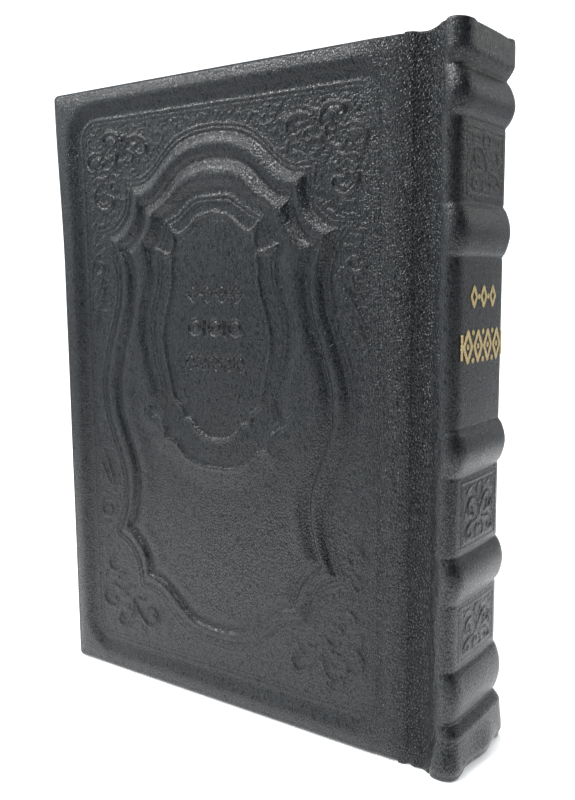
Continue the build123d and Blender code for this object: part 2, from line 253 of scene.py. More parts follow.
# edge of the plate
PLATE = [
    "82 189.5, 88 188.5, 91 187, 94 184.5, 97 182.7, 100 182.3, 103 185",
    "101.3 180, 102.2 176.4, 103.8 175, 107.5 174.4, 111 176.8",
    "106 175.2, 102.5 173.8, 103 170, 102.8 165, 104 160, 106.5 152, 108 145, 107.5 138, "
    "105 128, 103 120, 99 116, 98 112.5",
    "95 112, 92 109, 88 106.3, 82 105.3",
]
# threads drawn apart from the moulding at its arched head
HEAD_THREADS = [
    "82 220.6, 90 220, 95 219, 100 217.2, 104 214.6, 108 211, 112 207.4, 115 205.4, 120 204, "
    "127.5 204.4",
    "82 219, 90 218.4, 95 217.2, 100 215.2, 105 211.7, 109 208, 112 205.4, 116 202.9, 120 202, "
    "124.8 202",
    "124.9 200.4, 125.2 194.4, 126.6 190.5, 129.6 187.2, 133.4 184.6, 138.4 183.6",
    "127.2 203.6, 126.6 197.2, 128 192, 131.4 188.2, 136.2 185.6, 141.6 184.9",
]
# nominal half width, nominal height, points
SCROLLS = [
    # head corner
    (0.85, 0.62, "128.6 214.6, 126.4 216.4, 124.5 219, 122.7 219.7, 120.5 220.1, 117.6 219.3, "
     "115.9 217.9, 115.2 215.6, 116 213.4, 117.9 212.9, 119.6 213.2, 120.6 214.2"),
    (0.7, 0.5, "128.4 213.4, 126.6 214.7, 124.5 214.8, 122.7 213.8, 122.2 212.2, 123.2 210.9, "
     "124.9 210.9, 125.6 212"),
    (0.7, 0.45, "126 220.6, 127.4 220.5, 128.4 219.2, 128.6 217.2"),
    (0.9, 0.65, "128.9 215.2, 129.2 218, 130.3 220.6, 132.2 222, 134.8 222.3, 137.4 221.6, "
     "138.6 220, 138.2 218.3, 136.6 217.8"),
    (0.85, 0.62, "135.3 215.2, 133.7 215.9, 131.8 215.2, 131.1 213.6, 131.6 211.2, "
     "133.2 209.2, 135.3 208, 137.6 208.2, 139.2 209.6, 138.6 211.2, 136.9 211.2"),
    (0.85, 0.62, "139 214.2, 141.2 215, 143.8 214.9, 146 213.8, 147.3 211.6, 146.7 209.2, "
     "144.8 207.9, 143.2 208.6, 143 210.2"),
    (0.7, 0.4, "138.8 213.6, 140.8 211.6, 142.8 209.6"),
    (0.75, 0.5, "134.8 206.6, 137.2 205.5, 139.8 205.1, 142.4 205.3, 144.9 203.5"),
    (0.6, 0.35, "130 205.6, 131.3 205.2, 132.6 205.9"),
    (0.7, 0.45, "131.8 202.2, 133.4 203.2, 135 202.6, 135.3 201.1, 136.7 201.6"),
    (0.85, 0.6, "139.6 203.4, 142.2 202, 143.8 199.6, 143.8 197, 142.4 194.6, 139.8 193, "
     "136.8 193, 134.6 194.6, 134 196.8, 135 198.4, 136.9 198.6, 138 197.4"),
    (0.6, 0.35, "137.2 195.6, 139 194.8, 140.9 195.5, 141.8 196.9"),
    # tail corner
    (0.8, 0.5, "138.6 49.6, 140.6 49.9, 142.6 48.6, 143.4 46.2, 142.4 44, 140 43.2, 137.8 44.2"),
    (0.7, 0.42, "133.4 42.2, 135.3 43.1, 137.7 42.1, 137.9 40.2, 136 39.6"),
    (0.85, 0.58, "130.4 38.4, 132.8 36.2, 135.5 35.2, 138.2 36.2, 141.2 36.9, 144 36.1, "
     "146 34, 146.6 31, 145.4 28.4, 142.8 27.2, 140.2 27.7, 139.2 29.8, 140.4 31.4, 142.4 31"),
    (0.8, 0.52, "129.6 33, 129.8 29, 131 25, 133.2 22.9, 135.6 22.5, 137 24, 136.6 25.7"),
    (0.75, 0.5, "130.9 21.6, 132.6 19.9, 135.2 19.4, 137.6 20.3, 138.5 22.4, 137.7 24.6"),
    (0.85, 0.58, "129.2 31.2, 127 28.6, 124.2 25.2, 121 23, 118 23.2, 116.2 25.4, 116.2 28.4, "
     "118 30.6, 120.2 30.7, 121.3 29.3, 120.6 27.8"),
    (0.65, 0.38, "127.4 34.6, 125.4 33.2, 123.4 33.4, 122.8 35"),
    (0.6, 0.32, "144.6 42.6, 146 40.6, 145.4 38.8"),
    # side grounds
    (0.7, 0.5, "141 176, 143.8 175.4, 146 173.4, 146.6 170.6, 145.2 168.2, 142.6 167.6, "
     "140.6 169.2, 140.6 171.6, 142.4 172.8, 144 171.8, 143.8 170.4"),
    (0.8, 0.45, "141.2 166.6, 142.2 163.6, 144 161, 146.6 157.6"),
    (0.8, 0.5, "140 164.6, 141 160, 143.4 155.6, 146.2 151.4, 147.6 147.4"),
    (0.7, 0.4, "143.6 153, 145.2 148.6, 146.2 144.4"),
    (0.55, 0.28, "146.8 145.2, 148 141.4, 148 137.4"),
    (0.75, 0.42, "146.2 92, 145 88, 142.8 84.4, 141.6 80.6"),
    (0.75, 0.42, "143.6 94.2, 141.4 89.4, 139.6 84.6, 139 80.2"),
    (0.6, 0.32, "146.6 101.6, 147.2 97.2, 146.6 93.6"),
    (0.7, 0.48, "140.2 73.6, 142 74.2, 144.8 73.2, 146.2 70.8, 145.6 68, 143.4 66.6, "
     "141 67.4, 140.2 69.6, 141.6 71.2, 143.2 70.4"),
    (0.65, 0.36, "141.6 64.4, 144.2 62.6, 145.8 59.6"),
    (0.65, 0.36, "140.6 61, 143 58.6, 144 55.4"),
]
SCROLL_WIDTH, SCROLL_HEIGHT = 0.82, 1.35      # gains on the nominal values above
# height, width of the rising edge, points
PETALS = [
    (0.5, 1.6, "130.6 217, 131.6 220, 134.4 221.4, 137 220.4, 137.2 218.4, 134.6 216.2, "
     "132.2 215.8"),
    (0.4, 1.4, "139.8 213.4, 142.6 214, 145.4 212.8, 145.6 210.8, 142.6 209.6, 140.2 211"),
    (0.35, 0.9, "139.8 206.6, 142 206.9, 141.4 208.8, 139.8 208.4"),
    (0.45, 1.4, "131.2 33.6, 133.2 31.6, 136.4 30.6, 137.6 32.4, 136 34.2, 133.2 34.8"),
    (0.42, 1.1, "131.4 30.6, 132.2 27.2, 134.4 25.6, 135.2 27.4, 133.8 29.8"),
]
# u, v, radius, height
BALLS = [
    (121.3, 216.3, 1.25, 0.5), (134.1, 212.9, 0.9, 0.35), (129.7, 210.6, 0.8, 0.35),
    (139.2, 199.3, 0.9, 0.35), (144.6, 206.3, 0.7, 0.35),
    (118.6, 27.2, 1.1, 0.45), (142.0, 33.6, 0.9, 0.35), (140.4, 46.4, 0.8, 0.38),
    (128.8, 37.6, 0.9, 0.38),
    (140.5, 152.5, 1.15, 0.4), (139.2, 158.4, 0.8, 0.3), (138.6, 78.0, 0.9, 0.32),
    (147.6, 164.4, 0.7, 0.28),
]


# --- height of the cover's outside above the sunk ground ---

def panel_distance(u, v):
    """Signed distance from the panel's rounded rectangle, positive outside."""
    u_from, u_to, v_from, v_to = PANEL
    past_u = np.abs(u - (u_from + u_to) / 2) - (u_to - u_from) / 2 + PANEL_R
    past_v = np.abs(v - (v_from + v_to) / 2) - (v_to - v_from) / 2 + PANEL_R
    outside = np.hypot(np.maximum(past_u, 0), np.maximum(past_v, 0))
    return outside + np.minimum(np.maximum(past_u, past_v), 0) - PANEL_R


def padded_roll(u, v, panel):
    """Padded roll round the panel, falling to the cover's edges, and lines inside its rim."""
    joint_side = ease((u - 149) / 4)
    rise_width = 7.0 * (1 - joint_side) + 4.6 * joint_side
    roll = (1.75 - 0.4 * joint_side) * ease(panel / rise_width)
    edge = np.minimum(np.minimum(u, v), COVER_H - v)
    roll -= 1.35 * np.clip((7.2 - edge) / 7.2, 0, 1) ** 2.2
    roll -= 1.75 * np.clip((u - 157) / 6.5, 0, 1) ** 1.7
    height = np.where(panel > 0, roll, 0.0)
    height += bell(panel, at=-0.85, width=0.42, high=0.30)
    height += bell(panel, at=-2.45, width=0.40, high=0.18)
    return height + 0.10 * (1 - ease((-panel - 0.2) / 4))


def moulding(outer, valley, arch):
    """Rounded moulding, with a fine raised line along its inner side."""
    across = outer / np.maximum(outer + valley, 1e-6)
    ridge = (1.35 + 0.35 * arch) * np.sin(math.pi * np.clip(across, 0, 1)) ** 0.85
    return ridge + 0.18 * across + bell(valley, at=1.5, width=0.42, high=0.24)


def outer_threads(outer, v):
    """Two thin lines that follow the moulding outside, fading at the arched head and the foot."""
    lines = bell(outer, at=1.15, width=0.42, high=0.40)
    lines += bell(outer, at=2.9, width=0.45, high=0.38)
    return lines * (1 - 0.999 * ease((v - 181) / 3)) * (1 - 0.45 * ease((44 - v) / 8))


def pillow(v, valley, band, arch, foot):
    """Padded field between the moulding and the flat band."""
    rise_width = 4.2 + 0.6 * arch
    rise = 0.25 * np.clip(valley / rise_width, 0, 1) + 0.75 * ease(valley / rise_width)
    dome = 1.3 * (0.86 + 0.42 * arch) * rise
    # shoulders along the moulding and along the band
    dome += (bell(valley, at=6.0, width=2.6, high=0.30) * (1 - arch)
             * (0.4 + 0.6 * ease((v - 40) / 40)))
    dome += bell(band, at=5.0, width=2.7, high=0.34) * (1 - foot) * (0.55 + 0.45 * arch)
    # fall to the band, except at its foot, where the pillow rises to it
    dome *= 1 - (1 - foot) * (1 - ease(band / (3.6 + 1.2 * arch))) * 0.92
    dome += foot * 0.62 * (1 - ease(band / 9.5))
    # fine sunk line inside the moulding
    dome -= bell(valley, at=1.7 + 1.7 * ease((126 - v) / 24), width=0.5, high=0.16)
    lip = bell(band, at=0, width=0.9, high=0.30) + bell(band, at=0, width=0.7, high=0.16)
    return dome + 0.12 + foot * lip


def flat_band(band, foot):
    """Flat band round the plate: two threads at its head and sides, a lip at its foot."""
    level = 0.30 + 0.98 * foot + 0.10 * np.sin(np.clip(band / 9, 0, 1) * math.pi)
    threads = bell(band, at=1.9, width=0.42, high=0.36) + bell(band, at=3.7, width=0.42, high=0.30)
    lip = bell(band, at=0.7, width=0.7, high=0.24) + bell(band, at=0, width=0.7, high=0.16)
    return level + (1 - foot) * threads + foot * lip


def stamp_ornament(relief):
    """Scrolls, petals and balls, on both halves."""
    for side in (lambda place: place, mirror):
        for half_width, high, text in SCROLLS:
            relief.stroke(side(points(text)), half_width * SCROLL_WIDTH, high * SCROLL_HEIGHT)
        for high, edge, text in PETALS:
            relief.dome(side(points(text)), high, edge)
        for u, v, radius, high in BALLS:
            relief.disc(side(np.array([u, v])), radius, high)


def stamp_stipple(relief, rng, count=7600):
    """Short random dashes over the panel."""
    u_from, u_to, v_from, v_to = PANEL
    centre_u = rng.uniform(u_from + 3, u_to - 3, count)
    centre_v = rng.uniform(v_from + 3, v_to - 3, count)
    angle = rng.uniform(0, math.pi, count)
    half_length = rng.uniform(0.0, 0.8, count)
    highs = rng.uniform(0.14, 0.40, count)
    along = np.column_stack([half_length * np.cos(angle), half_length * np.sin(angle)])
    centres = np.column_stack([centre_u, centre_v])
    for a, b, high in zip(centres - along, centres + along + [0, 1e-6], highs):
        relief.stamp(a, b, radius=0.58, high=high, power=1.6)


def stamp_motifs(relief):
    """Three rows of motifs sunk into the plate: lozenges, rings and bars."""
    cut = dict(half_width=0.66, high=0.72)

    def lozenge(u, v, half_u, half_v):
        relief.polygon([(u - half_u, v), (u, v + half_v), (u + half_u, v), (u, v - half_v)], **cut)

    row = 160.5
    for u in (71.5, 78.5, 85.5, 92.5):
        lozenge(u, row, 2.6, 3.1)
        relief.disc((u, row), radius=0.75, high=0.3)
    for u in (75.0, 82.0, 89.0):
        relief.disc((u, row), radius=0.6, high=0.25)
    row, ring_r, bar = 147.8, 2.7, 2.9
    turn = np.linspace(0, 2 * math.pi, 40)
    for u in (72.2, 82.0, 91.8):
        ring = np.column_stack([u + ring_r * np.cos(turn), row + ring_r * np.sin(turn)])
        relief.stroke(ring, taper=(1, 1), **cut)
        relief.disc((u, row), radius=0.9, high=0.3)
    for u in (77.1, 86.9):
        relief.stamp((u, row - bar), (u, row + bar), radius=0.66, high=0.72)
    row, bar = 134.8, 1.9
    for u in (70.0, 76.0, 82.0, 88.0, 94.0):
        lozenge(u, row, 2.2, 2.9)
    for u in (73.0, 79.0, 85.0, 91.0):
        relief.stamp((u, row - bar), (u, row + bar), radius=0.62, high=0.62)


def unevenness(u, v, rng, waves=26):
    """Broad, slow waviness of padded leather, none at the joint side."""
    slow = np.zeros_like(u)
    for _ in range(waves):
        rate_u, rate_v = rng.normal(0, 0.055, 2)
        slow += np.sin(rate_u * u + rate_v * v + rng.uniform(0, 6.28)) / waves
    return 0.16 * slow * (1 - ease((u - 152) / 5))


def cover_height(columns, rows):
    """Height of the cover's outside above the sunk ground at each grid place."""
    relief = Relief(columns, rows)
    rng = np.random.default_rng(11)
    u, v = relief.u, relief.v

    def field(table, reach):
        loop = closed_loop(table)
        return relief.loop_distance(loop, reach), relief.inside(loop)

    panel = panel_distance(u, v)
    valley, in_valley = field(VALLEY, reach=26)
    outer, in_outer = field(OUTER, reach=12)
    band, in_band = field(BAND, reach=22)
    plate, in_plate = field(PLATE, reach=12)
    arch = ease((v - 168) / 14)         # share of the arched head
    foot = ease((118 - v) / 12)         # share of the foot
    ground = ~in_outer & (panel < -1.2)

    height = padded_roll(u, v, panel)
    height = np.where(in_outer & ~in_valley, moulding(outer, valley, arch), height)
    height = np.where(ground, height + outer_threads(outer, v), height)
    height = np.where(in_valley & ~in_band, pillow(v, valley, band, arch, foot), height)
    height = np.where(in_band & ~in_plate, flat_band(band, foot), height)

    # plate, slightly domed, and its rim
    dome = 0.16 * np.exp(-(((u - AXIS_U) / 24) ** 2 + ((v - 148) / 44) ** 2))
    height = np.where(in_plate, 0.40 + dome, height)
    rim = (0.66 - 0.22 * foot) * bell(plate, at=0, width=0.62)
    rim -= bell(plate, at=1.7, width=0.6, high=0.10) * in_plate
    height = np.where(in_band, height + rim, height)

    for text in HEAD_THREADS:
        for line in (points(text), mirror(points(text))):
            relief.stroke(line, half_width=0.62, high=0.30, taper=(1, 0.5))
    height = np.where(ground, np.maximum(height, relief.take()), height)

    # ornament, and stipple on the ground between it
    stamp_ornament(relief)
    ornament = relief.take()
    ornament *= np.clip((-panel - 2.9) / 0.6, 0, 1) * np.clip((outer - 1) / 0.8, 0, 1)
    stamp_stipple(relief, rng)
    stipple = relief.take()
    stipple *= np.clip((-panel - 3) / 0.8, 0, 1) * np.clip((outer - 3.6) / 0.8, 0, 1)
    stipple *= 0.55 + 0.45 * ease((v - 120) / 60) + 0.25 * ease((u - 110) / 30)
    height += np.where(ground, np.maximum(ornament, stipple), 0)

    stamp_motifs(relief)
    height -= relief.take()
    height += unevenness(u, v, rng)
    # round the panel's rim the leather lies on its padding
    return np.where((panel > -1.7) & (panel < 4), np.maximum(height, 0.04), height)


# --- mesh helpers ---

def new_mesh(name, verts, faces, material, smooth=True):
    """A linked mesh object; verts in metres."""
    mesh = bpy.data.meshes.new(name)
    mesh.from_pydata(np.asarray(verts, float).tolist(), [], faces)
    mesh.validate()
    mesh.update()
    if smooth:
        mesh.polygons.foreach_set("use_smooth", np.ones(len(mesh.polygons), bool))
    piece = bpy.data.objects.new(name, mesh)
    bpy.context.scene.collection.objects.link(piece)
    mesh.materials.append(material)
    return piece


def make_piece(name, verts, faces, material, smooth=True, sharp_angle=None):
    """A piece of the book; verts in millimetres from the datum. Normals are made to face out."""
    verts = (np.asarray(verts, float) + [SHIFT_X, 0, 0]) * MM
    piece = new_mesh(name, verts, faces, material, smooth)
    work = bmesh.new()
    work.from_mesh(piece.data)
    bmesh.ops.recalc_face_normals(work, faces=work.faces)
    work.to_mesh(piece.data)
    work.free()
    if sharp_angle:
        piece.data.set_sharp_from_angle(angle=math.radians(sharp_angle))
    return piece


def register(piece, node, body=None):
    """Hide the CAD part a piece replaces and attach the piece to the body it rides on, if one is
    given.
    """
    if body:
        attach(piece, body)
    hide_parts(node)


def join(parts):
    """One set of vertices and faces from several."""
    faces, start = [], 0
    for verts, part_faces in parts:
        faces += [[i + start for i in face] for face in part_faces]
        start += len(verts)
    return np.vstack([verts for verts, _ in parts]), faces


def grid_faces(rows, columns, wrap=False):
    """Quads over rows of points; wrap joins the last row to the first."""
    row = np.arange(rows if wrap else rows - 1)[:, None]
    column = np.arange(columns - 1)[None, :]
    a = (row * columns + column).ravel()
    d = ((row + 1) % rows * columns + column).ravel()
    return np.stack([a, a + 1, d + 1, d], 1).tolist()


def tube_faces(rings, size, wrap=False):
    """Quads between rings of points; the ends are capped unless the tube wraps round."""
    faces = []
    for j in range(rings if wrap else rings - 1):
        this, after = j * size, (j + 1) % rings * size
        for k in range(size):
            k_next = (k + 1) % size
            faces.append([this + k, this + k_next, after + k_next, after + k])
    if not wrap:
        faces.append(list(range(size))[::-1])
        faces.append([(rings - 1) * size + k for k in range(size)])
    return faces


def slab_faces(rows, columns):
    """Faces of a thin closed sheet: one grid of points, then a second grid behind it."""
    count = rows * columns

    def wall(a, b):
        return [a, b, b + count, a + count]

    faces = grid_faces(rows, columns)
    faces += [[i + count for i in reversed(face)] for face in faces]
    for j in range(rows - 1):
        a = j * columns
        b = a + columns - 1
        faces += [wall(a, a + columns), wall(b + columns, b)]
    for i in range(columns - 1):
        last = (rows - 1) * columns + i
        faces += [wall(i + 1, i), wall(last, last + 1)]
    return faces


# --- shading helpers ---

def tint(colour, gain):
    return tuple(channel * gain for channel in colour)


class Shader:
    """Node tree of a material or world. Wherever a number goes in, an output can go in too."""

    def __init__(self, owner, surface="Principled BSDF"):
        self.owner = owner
        owner.use_nodes = True
        self.tree = owner.node_tree
        self.surface = self.tree.nodes[surface]

    def feed(self, node, inputs):
        for key, value in inputs.items():
            if isinstance(value, bpy.types.NodeSocket):
                self.tree.links.new(value, node.inputs[key])
            else:
                node.inputs[key].default_value = value

    def node(self, kind, inputs=None, **settings):
        node = self.tree.nodes.new(kind)
        for key, value in settings.items():
            setattr(node, key, value)
        self.feed(node, inputs or {})
        return node

    def finish(self, **inputs):
        """Feed the surface node; underscores stand for spaces."""
        self.feed(self.surface, {key.replace("_", " "): inputs[key] for key in inputs})
        return self.owner

    def coords(self, scale=(1, 1, 1)):
        place = self.node("ShaderNodeTexCoord").outputs["Object"]
        mapping = self.node("ShaderNodeMapping", {"Scale": scale, "Vector": place})
        return mapping.outputs["Vector"]

    def noise(self, place, scale, detail=3, roughness=0.55):
        inputs = {"Scale": scale, "Detail": detail, "Roughness": roughness, "Vector": place}
        return self.node("ShaderNodeTexNoise", inputs).outputs["Fac"]

    def voronoi(self, place, scale, feature="F1"):
        inputs = {"Scale": scale, "Vector": place}
        return self.node("ShaderNodeTexVoronoi", inputs, feature=feature).outputs["Distance"]

    def wave(self, place, scale, direction, distortion=0.0):
        inputs = {"Scale": scale, "Distortion": distortion, "Vector": place}
        node = self.node("ShaderNodeTexWave", inputs, wave_type="BANDS",
                         bands_direction=direction)
        return node.outputs["Fac"]

    def math(self, operation, *values):
        node = self.node("ShaderNodeMath", dict(enumerate(values)), operation=operation)
        return node.outputs[0]

    def ramp(self, factor, stops):
        """Colour ramp; stops maps positions to colours."""
        node = self.node("ShaderNodeValToRGB", {"Fac": factor})
        elements = node.color_ramp.elements
        while len(elements) < len(stops):
            elements.new(0.5)
        for element, (position, colour) in zip(elements, stops.items()):
            element.position = position
            element.color = (*colour, 1)
        return node.outputs["Color"]

    def map_range(self, value, source, target, **settings):
        inputs = {"Value": value, "From Min": source[0], "From Max": source[1],
                  "To Min": target[0], "To Max": target[1]}
        return self.node("ShaderNodeMapRange", inputs, **settings).outputs["Result"]

    def vary(self, noise, low, high):
        """Spread the usual span of a noise from low to high."""
        return self.map_range(noise, (0.3, 0.7), (low, high))

    def mix(self, kind, factor, first, second):
        inputs = {"Fac": factor, "Color1": first, "Color2": second}
        return self.node("ShaderNodeMixRGB", inputs, blend_type=kind).outputs["Color"]

    def bump(self, height, strength, distance):
        inputs = {"Strength": strength, "Distance": distance, "Height": height}
        return self.node("ShaderNodeBump", inputs).outputs["Normal"]


def material_shader(name):
    return Shader(bpy.data.materials.new(name))


# --- materials; lengths and scales in here are in metres ---

def leather(name, base=(0.0085, 0.0102, 0.0122), rough=0.44, grain=1.0, specular=0.5):
    """Pebbled leather: flat-topped pebbles with narrow grooves between them."""
    pebble = 0.00090
    m = material_shader(name)
    place = m.coords((1.28, 1.1, 0.74))
    # a slight warp keeps the pebbles from looking regular
    swirl = m.node("ShaderNodeTexNoise", {"Scale": 900, "Detail": 2, "Vector": place})
    small = m.node("ShaderNodeVectorMath", {"Scale": 0.0006, 0: swirl.outputs["Color"]},
                   operation="SCALE")
    warped = m.mix("ADD", 1.0, place, small.outputs["Vector"])
    groove = m.voronoi(warped, 1 / pebble, "DISTANCE_TO_EDGE")
    pores = m.voronoi(warped, 1 / (pebble * 2.7))
    fine = m.noise(place, scale=5200, detail=2)
    tilt = m.noise(warped, scale=0.62 / pebble, detail=2, roughness=0.5)
    crease = m.noise(place, scale=420, detail=5, roughness=0.62)
    broad = m.noise(place, scale=26)
    middle = m.noise(place, scale=150)
    dome = m.map_range(groove, (0.0, 0.24), (0.0, 1.0))
    pits = m.map_range(pores, (0.0, 0.28), (0.0, 1.0))
    height = dome
    for layer, weight in ((tilt, 1.5), (crease, 0.35), (fine, 0.16), (pits, 0.15)):
        height = m.math("MULTIPLY_ADD", layer, weight, height)
    # the tooled panel is pressed smoother than the border and the joint
    split = m.node("ShaderNodeSeparateXYZ", {0: m.node("ShaderNodeTexCoord").outputs["Object"]})
    press = m.map_range(split.outputs["X"], (0.052, 0.064), (0.50, 1.0))
    # colour: cloudy, with painted shade darkening the grooves
    tone = m.math("ADD", m.math("MULTIPLY", broad, 0.55), m.math("MULTIPLY", middle, 0.45))
    cloudy = m.ramp(tone, {0.30: tint(base, 0.78), 0.55: base, 0.78: tint(base, 1.35)})
    shade = m.ramp(dome, {0.10: (0.45, 0.45, 0.46), 0.80: (1.10, 1.10, 1.10)})
    return m.finish(
        Base_Color=m.mix("MULTIPLY", 0.8, cloudy, shade),
        Roughness=m.math("ADD", m.vary(crease, rough - 0.05, rough + 0.06),
                         m.vary(broad, -0.03, 0.04)),
        # reflection is made weaker in the grooves too: painted shade
        Specular_IOR_Level=m.map_range(groove, (0.0, 0.16), (0.25 * specular, specular)),
        Normal=m.bump(height, strength=press, distance=0.000165 * grain))


def paper(name, base, fleck=0.05, scale=900):
    """Fibrous paper; fleck is the strength of its cloudiness."""
    m = material_shader(name)
    place = m.coords()
    grain = m.noise(place, scale, detail=4)
    clouds = m.noise(place, scale=28)
    mixed = m.math("ADD", m.math("MULTIPLY", grain, 0.5), m.math("MULTIPLY", clouds, 0.5))
    fibre = m.noise(m.coords((1, 1, 0.25)), scale=2600, roughness=0.7)
    height = m.math("MULTIPLY_ADD", fibre, 0.6, grain)
    return m.finish(
        Base_Color=m.ramp(mixed, {0.3: tint(base, 1 - fleck * 1.6), 0.5: base,
                                  0.72: tint(base, 1 + fleck)}),
        Roughness=m.vary(grain, 0.79, 0.91),
        Specular_IOR_Level=0.25,
        Normal=m.bump(height, strength=0.7, distance=0.00006))


def cloth(name, base, pitch, second=None, stripe=None, sheen=0.3):
    """Woven cloth; with a stripe width it alternates between two colours."""
    m = material_shader(name)
    place = m.coords()
    warp, weft = (m.wave(place, 0.1 / pitch, direction, distortion=0.6) for direction in "YZ")
    weave = m.math("MULTIPLY", warp, weft)
    noise = m.noise(place, scale=1400)
    if stripe:
        colour = m.ramp(m.wave(place, 0.05 / stripe, "Y"), {0.44: base, 0.56: second})
    else:
        colour = m.ramp(noise, {0.3: tint(base, 0.85), 0.7: base})
    shade = m.ramp(weave, {0.0: (0.55, 0.55, 0.55), 0.6: (1, 1, 1)})
    height = m.math("MULTIPLY_ADD", noise, 0.3, weave)
    return m.finish(
        Base_Color=m.mix("MULTIPLY", 0.45, colour, shade),
        Roughness=m.vary(noise, 0.5, 0.72),
        Sheen_Weight=sheen,
        Normal=m.bump(height, strength=0.9, distance=0.00008))


def gold_leaf(name):
    m = material_shader(name)
    place = m.coords()
    grain = m.noise(place, scale=2400, detail=4, roughness=0.65)
    patches = m.noise(place, scale=380)
    golds = {0.30: (0.38, 0.27, 0.11), 0.5: (0.64, 0.50, 0.25), 0.75: (0.86, 0.70, 0.40)}
    return m.finish(
        Base_Color=m.ramp(grain, golds),
        Roughness=m.vary(patches, 0.30, 0.50),
        Metallic=0.82,
        Normal=m.bump(grain, strength=0.7, distance=0.00008))


def board(name, base=(0.30, 0.285, 0.25)):
    m = material_shader(name)
    place = m.coords()
    grain = m.noise(place, scale=1500, detail=5, roughness=0.7)
    height = m.math("MULTIPLY_ADD", m.voronoi(place, scale=900), 0.5, grain)
    return m.finish(
        Base_Color=m.ramp(grain, {0.3: tint(base, 0.75), 0.7: tint(base, 1.2)}),
        Roughness=m.vary(grain, 0.8, 0.95),
        Normal=m.bump(height, strength=0.8, distance=0.00015))


def foam(name):
    m = material_shader(name)
    place = m.coords()
    cells = m.voronoi(place, scale=1300)
    return m.finish(
        Base_Color=m.ramp(cells, {0.1: (0.42, 0.41, 0.36), 0.6: (0.80, 0.79, 0.72)}),
        Roughness=m.vary(m.noise(place, scale=500), 0.85, 0.98),
        Normal=m.bump(cells, strength=1.0, distance=0.0004))


COVER_LEATHER = leather("cover_leather_grain", rough=0.25)
SPINE_LEATHER = leather("spine_leather_grain", base=(0.0112, 0.0130, 0.0150), rough=0.30,
                        grain=0.36, specular=0.62)
JOINT_LEATHER = leather("joint_leather_grain", rough=0.27)
PAGE = paper("page_paper", base=(0.80, 0.765, 0.66))
PAGE_COOL = paper("page_paper_cool", base=(0.78, 0.75, 0.66))
ENDPAPER = paper("endpaper_stock", base=(0.72, 0.68, 0.57), fleck=0.09, scale=600)
BACKS = paper("folded_backs_paper", base=(0.66, 0.61, 0.50), fleck=0.12, scale=500)
SILK = cloth("headband_silk_thread", base=(0.02, 0.022, 0.03), second=(0.74, 0.71, 0.62),
             pitch=0.0004, stripe=0.0017, sheen=0.5)
LINING = cloth("spine_lining_mull", base=(0.62, 0.60, 0.53), pitch=0.0011)
GOLD = gold_leaf("gilt_title")
BOARD = board("grey_board")
FOAM = foam("padding_foam")
CORE = board("band_core_board", base=(0.42, 0.37, 0.29))


# --- cover leather: detailed outside, rolled edges, turn-ins and an inner skin ---

def grid_line(length, fine, step, before, after):
    """Places along one direction: evenly fine in the middle, coarser runs at both ends."""
    return np.concatenate([np.linspace(EDGE_R, fine[0], before)[:-1], np.arange(*fine, step),
                           np.linspace(fine[1], length - EDGE_R, after)])


FINE_U, FINE_V = (12.0, 153.2), (11.5, 229.6)
GRID_U = grid_line(COVER_W, FINE_U, step=0.5, before=13, after=13)
GRID_V = grid_line(COVER_H, FINE_V, step=0.5, before=12, after=11)
OUTSIDE_Y = GROUND_Y + cover_height(GRID_U, GRID_V)
ROLL_STEPS = 6
LEAST_Y = 15.98
# inset, |y|: down the edge, under the turn-in, then back along the inner skin
EDGE_PROFILE = [
    (0.0, 17.4), (0.10, 16.6), (0.35, 16.18), (0.8, 16.02), (3.0, 15.99), (13.0, 15.985),
    (13.0, 16.55), (1.3, 16.6), (1.15, 17.4), (1.15, 18.9), (2.0, 19.35), (12.0, 19.36),
]


def outline(inset, corner_points=7):
    """Rounded outline of the cover at an inset, in step with the grid's border.

    Gives u, v, the grid row and column each point follows, and its share of the joint side.
    """
    radius = max(EDGE_R - inset, 0.0)
    low = max(EDGE_R, inset)
    high_u, high_v = COVER_W - low, COVER_H - low
    line_u = low + (GRID_U - EDGE_R) * (high_u - low) / (COVER_W - 2 * EDGE_R)
    line_v = low + (GRID_V - EDGE_R) * (high_v - low) / (COVER_H - 2 * EDGE_R)
    top, end = len(GRID_V) - 1, len(GRID_U) - 1
    ring = []

    def corner(u, v, quarter, row, column, share=(0.0, 0.0)):
        for k in range(corner_points):
            turn = k / (corner_points - 1)
            angle = (quarter + turn) * math.pi / 2
            ring.append((u + radius * math.cos(angle), v + radius * math.sin(angle),
                         row, column, share[0] + (share[1] - share[0]) * turn))

    # from the tail fore corner along the tail, up the joint side, then head and fore edge
    corner(low, low, 2, 0, 0)
    ring += [(line_u[i], low - radius, 0, i, 0.0) for i in range(1, end)]
    corner(high_u, low, 3, 0, end, share=(0.0, 1.0))
    ring += [(high_u + radius, line_v[j], j, end, 1.0) for j in range(1, top)]
    corner(high_u, high_v, 0, top, end, share=(1.0, 0.0))
    ring += [(line_u[i], high_v + radius, top, i, 0.0) for i in range(end - 1, 0, -1)]
    corner(low, high_v, 1, top, 0)
    ring += [(low - radius, line_v[j], j, 0, 0.0) for j in range(top - 1, 0, -1)]
    u, v, row, column, share = np.array(ring).T
    return u, v, row.astype(int), column.astype(int), share


def edge_rings():
    """Rings of u, |y|, v that carry the leather from the grid's border round the edge."""
    rings = []
    for k in range(1, ROLL_STEPS + 1):
        angle = (math.pi / 2) * k / ROLL_STEPS
        u, v, row, column, share = outline(EDGE_R * (1 - math.sin(angle)))
        drop = (EDGE_R - 0.3) * (1 - math.cos(angle))
        joint_drop = 0.95 * math.sin(angle) ** 1.3
        y = OUTSIDE_Y[row, column] - (drop * (1 - share) + joint_drop * share)
        rings.append((u, np.maximum(y, LEAST_Y), v))
    for inset, y in EDGE_PROFILE:
        u, v, *_ = outline(inset)
        rings.append((u, np.full_like(u, y), v))
    return rings


